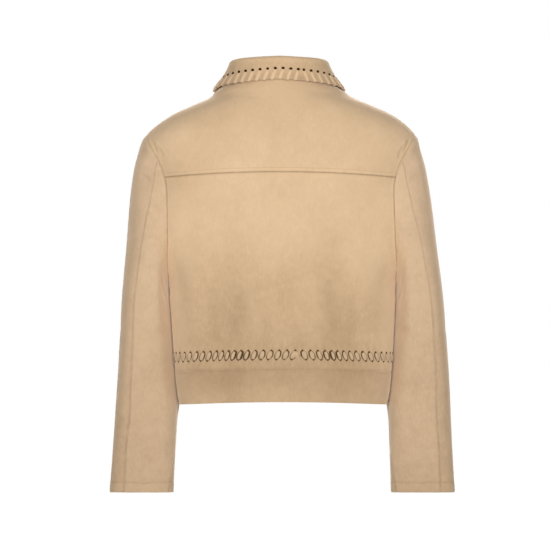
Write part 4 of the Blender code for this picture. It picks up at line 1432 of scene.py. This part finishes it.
def stitch_line(panel, edge, distance):
    """Points and outward directions at a distance from an edge of a sewn panel."""
    points = panel["points"] + panel["normals"] * panel["outer"][..., None]
    normals, reach = panel["normals"], panel["reaches"][edge]
    if edge in ("top", "bottom"):
        points, normals, reach = (grid.swapaxes(0, 1) for grid in (points, normals, reach))
    line, outs = [], []
    for row_points, row_normals, row_reach in zip(points, normals, reach):
        order = np.argsort(row_reach)
        for found, row in ((line, row_points), (outs, row_normals)):
            found.append([np.interp(distance, row_reach[order], row[order, k]) for k in range(3)])
    return np.array(line), unit(np.array(outs))


def stitches_on(line, outs):
    """Short rounded stitches along a line, each dipping into the cloth at both ends."""
    along = np.concatenate([[0], np.cumsum(np.linalg.norm(np.diff(line, axis=0), axis=-1))])
    t = np.linspace(0, 1, 5)
    rise = STITCH_LIFT + 0.3 * np.sin(np.pi * t) - 0.15
    widths = 2 * STITCH_RADIUS * (0.5 + 0.5 * np.sin(np.pi * t) ** 0.5)
    stitches = []
    for start in np.arange(STITCH_ENDS, along[-1] - STITCH_ENDS, STITCH_PITCH):
        at = start + STITCH_LENGTH * t
        path = np.stack([np.interp(at, along, line[:, k]) for k in range(3)], axis=-1)
        out = unit(np.stack([np.interp(at, along, outs[:, k]) for k in range(3)], axis=-1))
        stitches.append((path + out * rise[:, None], out, widths, widths))
    return stitches


def make_topstitching():
    lines = [
        (pieces["back_yoke"], "bottom", YOKE_STITCH),
        (pieces["back_band"], "top", BAND_STITCH),
    ]
    for word in ("left", "right"):
        lines.append((pieces["front_band_" + word], "top", BAND_STITCH))
        for part in ("top", "under"):
            lines.append((pieces[f"sleeve_{word}_{part}"], "bottom", HEM_STITCH))
    for part in ("", "strip_", "band_"):
        lines.append((pieces[f"front_{part}right"], "end", CLOSURE_STITCH))
    stitches = [stitch for line in lines for stitch in stitches_on(*stitch_line(*line))]
    add_parts("topstitching", strap_parts(stitches, sides=5), thread_finish)


make_lower_lacing()
make_collar_lacing()
make_topstitching()

# ---------------------------------------------------------------- buttons

BUTTON_INSETS = ((1.5, 0.0), (0.8, -0.9), (1.6, -0.15))  # how far in, and how far up
BUTTON_ROUNDING = 0.45
BUTTON_HOLE_AT = 1.25
BUTTON_HOLE_RADIUS = 0.75
BUTTON_DISH = 0.9
THREAD_RADIUS = 0.5
THREAD_STRETCH = (4.6, 0.9, 0.9)


def cylinder(sides, radius, height, x=0.0, y=0.0):
    bpy.ops.object.select_all(action="DESELECT")
    bpy.ops.mesh.primitive_cylinder_add(
        vertices=sides, radius=radius * MM, depth=height * MM, location=(x * MM, y * MM, 0)
    )
    return bpy.context.active_object


def model_button():
    """A dished four-hole button, modelled flat with its face up."""
    button = cylinder(48, BUTTON_RADIUS, BUTTON_THICKNESS)
    bpy.ops.object.mode_set(mode="EDIT")
    bpy.ops.mesh.select_mode(type="FACE")
    bpy.ops.mesh.select_all(action="DESELECT")
    bpy.ops.object.mode_set(mode="OBJECT")
    for face in button.data.polygons:
        face.select = face.normal.z > 0.9
    bpy.ops.object.mode_set(mode="EDIT")
    for inward, upward in BUTTON_INSETS:
        bpy.ops.mesh.inset(thickness=inward * MM, depth=upward * MM)
    bpy.ops.object.mode_set(mode="OBJECT")
    bevel = button.modifiers.new("rounding", "BEVEL")
    bevel.width = BUTTON_ROUNDING * MM
    bevel.segments = 3
    bevel.limit_method = "ANGLE"
    bevel.angle_limit = np.radians(28)
    pick(button)
    bpy.ops.object.modifier_apply(modifier="rounding")
    for x in (-BUTTON_HOLE_AT, BUTTON_HOLE_AT):
        for y in (-BUTTON_HOLE_AT, BUTTON_HOLE_AT):
            drill = cylinder(14, BUTTON_HOLE_RADIUS, 8, x, y)
            cut = button.modifiers.new("hole", "BOOLEAN")
            cut.operation = "DIFFERENCE"
            cut.object = drill
            pick(button)
            bpy.ops.object.modifier_apply(modifier="hole")
            bpy.data.objects.remove(drill)
    return button


def model_button_thread():
    """Two crossing bars of thread through the button's holes."""
    thread = add_object("thread", bpy.data.meshes.new("thread"), dark_thread_finish, SHARP_BUTTON)
    pick(thread)
    bpy.ops.object.mode_set(mode="EDIT")
    for turn in (45, -45):
        bpy.ops.mesh.primitive_uv_sphere_add(
            segments=10, ring_count=8, radius=THREAD_RADIUS * MM, scale=THREAD_STRETCH,
            rotation=(0, 0, np.radians(turn)),
            location=(0, 0, (BUTTON_THICKNESS / 2 - BUTTON_DISH) * MM),
        )
    bpy.ops.object.mode_set(mode="OBJECT")
    return thread


def sew_buttons():
    button, thread = model_button(), model_button_thread()

    def surface(angle, level):
        return torso(angle, level, back=False, lapped=True)

    for number, level in enumerate(BUTTON_LEVELS, 1):
        seat = surface(-180.0, level)
        at = np.array(-180.0), np.array(level)
        out = normals_of(surface, *at, SMALL_ANGLE, SMALL_LEVEL, flip=-1)
        centre = seat + out * (SUEDE_WALL / 2 + BUTTON_SEAT + BUTTON_THICKNESS / 2)
        sideways = unit(np.cross(np.array([0.0, 0.0, 1.0]), out))
        upward = np.cross(out, sideways)
        place = Matrix.Identity(4)
        for column, axis in enumerate((sideways, upward, out)):
            for row in range(3):
                place[row][column] = axis[row]
        place.translation = Vector(centre * MM)
        for source, name, finish in (
            (button, f"button_{number}_face", button_finish),
            (thread, f"button_{number}_thread", dark_thread_finish),
        ):
            mesh = source.data.copy()
            mesh.transform(place)
            thing = add_object(name, mesh, finish, SHARP_BUTTON)
            if source is button:
                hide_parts(f"button_{number}")
            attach(thing, "root")
    bpy.data.objects.remove(button)
    bpy.data.objects.remove(thread)


sew_buttons()

# ---------------------------------------------------------------- camera, floor and light

# In metres, and the lights' power in watts.
CAMERA_DISTANCE = 14.0
CAMERA_SENSOR = 36.0
VIEW_WIDTH = 0.913
VIEW_MIDDLE = (0.010, -0.2955)
FLOOR_HEIGHT = -0.80
FLOOR_SIZE = 60
FLOOR_GLOW = 1.14
FLOOR_GLOW_SHARE = 0.88
SKY_LIGHT = 0.16
WHITE = (1, 1, 1, 1)
LIT_MIDDLE = (0, 0, -0.28)
LIGHTS = (  # name, place, size and power
    ("key", (0.0, 4.4, 0.30), 2.2, 183),
    ("side_left", (3.0, 2.6, 0.3), 2.2, 12),
    ("side_right", (-3.0, 2.6, 0.3), 2.2, 12),
    ("front_fill", (-0.4, -3.6, 1.0), 2.6, 130),
)


def place_camera():
    camera = bpy.data.cameras.new("camera")
    camera.sensor_width = CAMERA_SENSOR
    camera.lens = camera.sensor_width * CAMERA_DISTANCE / VIEW_WIDTH
    holder = bpy.data.objects.new("camera", camera)
    holder.location = (VIEW_MIDDLE[0], CAMERA_DISTANCE, VIEW_MIDDLE[1])
    holder.rotation_euler = (np.radians(90), 0, np.radians(180))
    bpy.context.scene.collection.objects.link(holder)
    bpy.context.scene.camera = holder


def seen_only(tree, shown, lit):
    """A shader that the camera sees as one and light meets as the other."""
    ray = tree.nodes.new("ShaderNodeLightPath")
    mix = tree.nodes.new("ShaderNodeMixShader")
    tree.links.new(ray.outputs["Is Camera Ray"], mix.inputs[0])
    tree.links.new(lit, mix.inputs[1])
    tree.links.new(shown, mix.inputs[2])
    return mix.outputs[0]


def lay_floor():
    bpy.ops.object.select_all(action="DESELECT")
    bpy.ops.mesh.primitive_plane_add(size=FLOOR_SIZE, location=(0, 0, FLOOR_HEIGHT))
    floor = bpy.context.active_object
    floor.name = "floor"
    grey = (0.42, 0.42, 0.42, 1)
    finish, tree, shader = new_finish("pale_floor", Base_Color=grey, Roughness=0.9)
    glow = add_node(tree, "ShaderNodeEmission", None, Color=WHITE, Strength=FLOOR_GLOW)
    blend = tree.nodes.new("ShaderNodeMixShader")
    blend.inputs[0].default_value = FLOOR_GLOW_SHARE
    tree.links.new(shader.outputs[0], blend.inputs[1])
    tree.links.new(glow.outputs[0], blend.inputs[2])
    output = tree.nodes["Material Output"]
    tree.links.new(seen_only(tree, blend.outputs[0], shader.outputs[0]), output.inputs["Surface"])
    floor.data.materials.append(finish)


def set_sky():
    world = bpy.data.worlds.new("studio")
    bpy.context.scene.world = world
    world.use_nodes = True
    tree = world.node_tree
    tree.nodes.clear()
    shown = add_node(tree, "ShaderNodeBackground", None, Color=WHITE, Strength=1.0)
    lit = add_node(tree, "ShaderNodeBackground", None, Color=WHITE, Strength=SKY_LIGHT)
    output = tree.nodes.new("ShaderNodeOutputWorld")
    tree.links.new(seen_only(tree, shown.outputs[0], lit.outputs[0]), output.inputs["Surface"])


def hang_light(name, place, size, power):
    light = bpy.data.lights.new(name, "AREA")
    light.shape = "DISK"
    light.size = size
    light.energy = power
    holder = bpy.data.objects.new(name, light)
    holder.location = place
    holder.rotation_euler = (Vector(LIT_MIDDLE) - Vector(place)).to_track_quat("-Z", "Y").to_euler()
    bpy.context.scene.collection.objects.link(holder)


place_camera()
lay_floor()
set_sky()
for light in LIGHTS:
    hang_light(*light)
bpy.context.scene.view_settings.view_transform = "Standard"
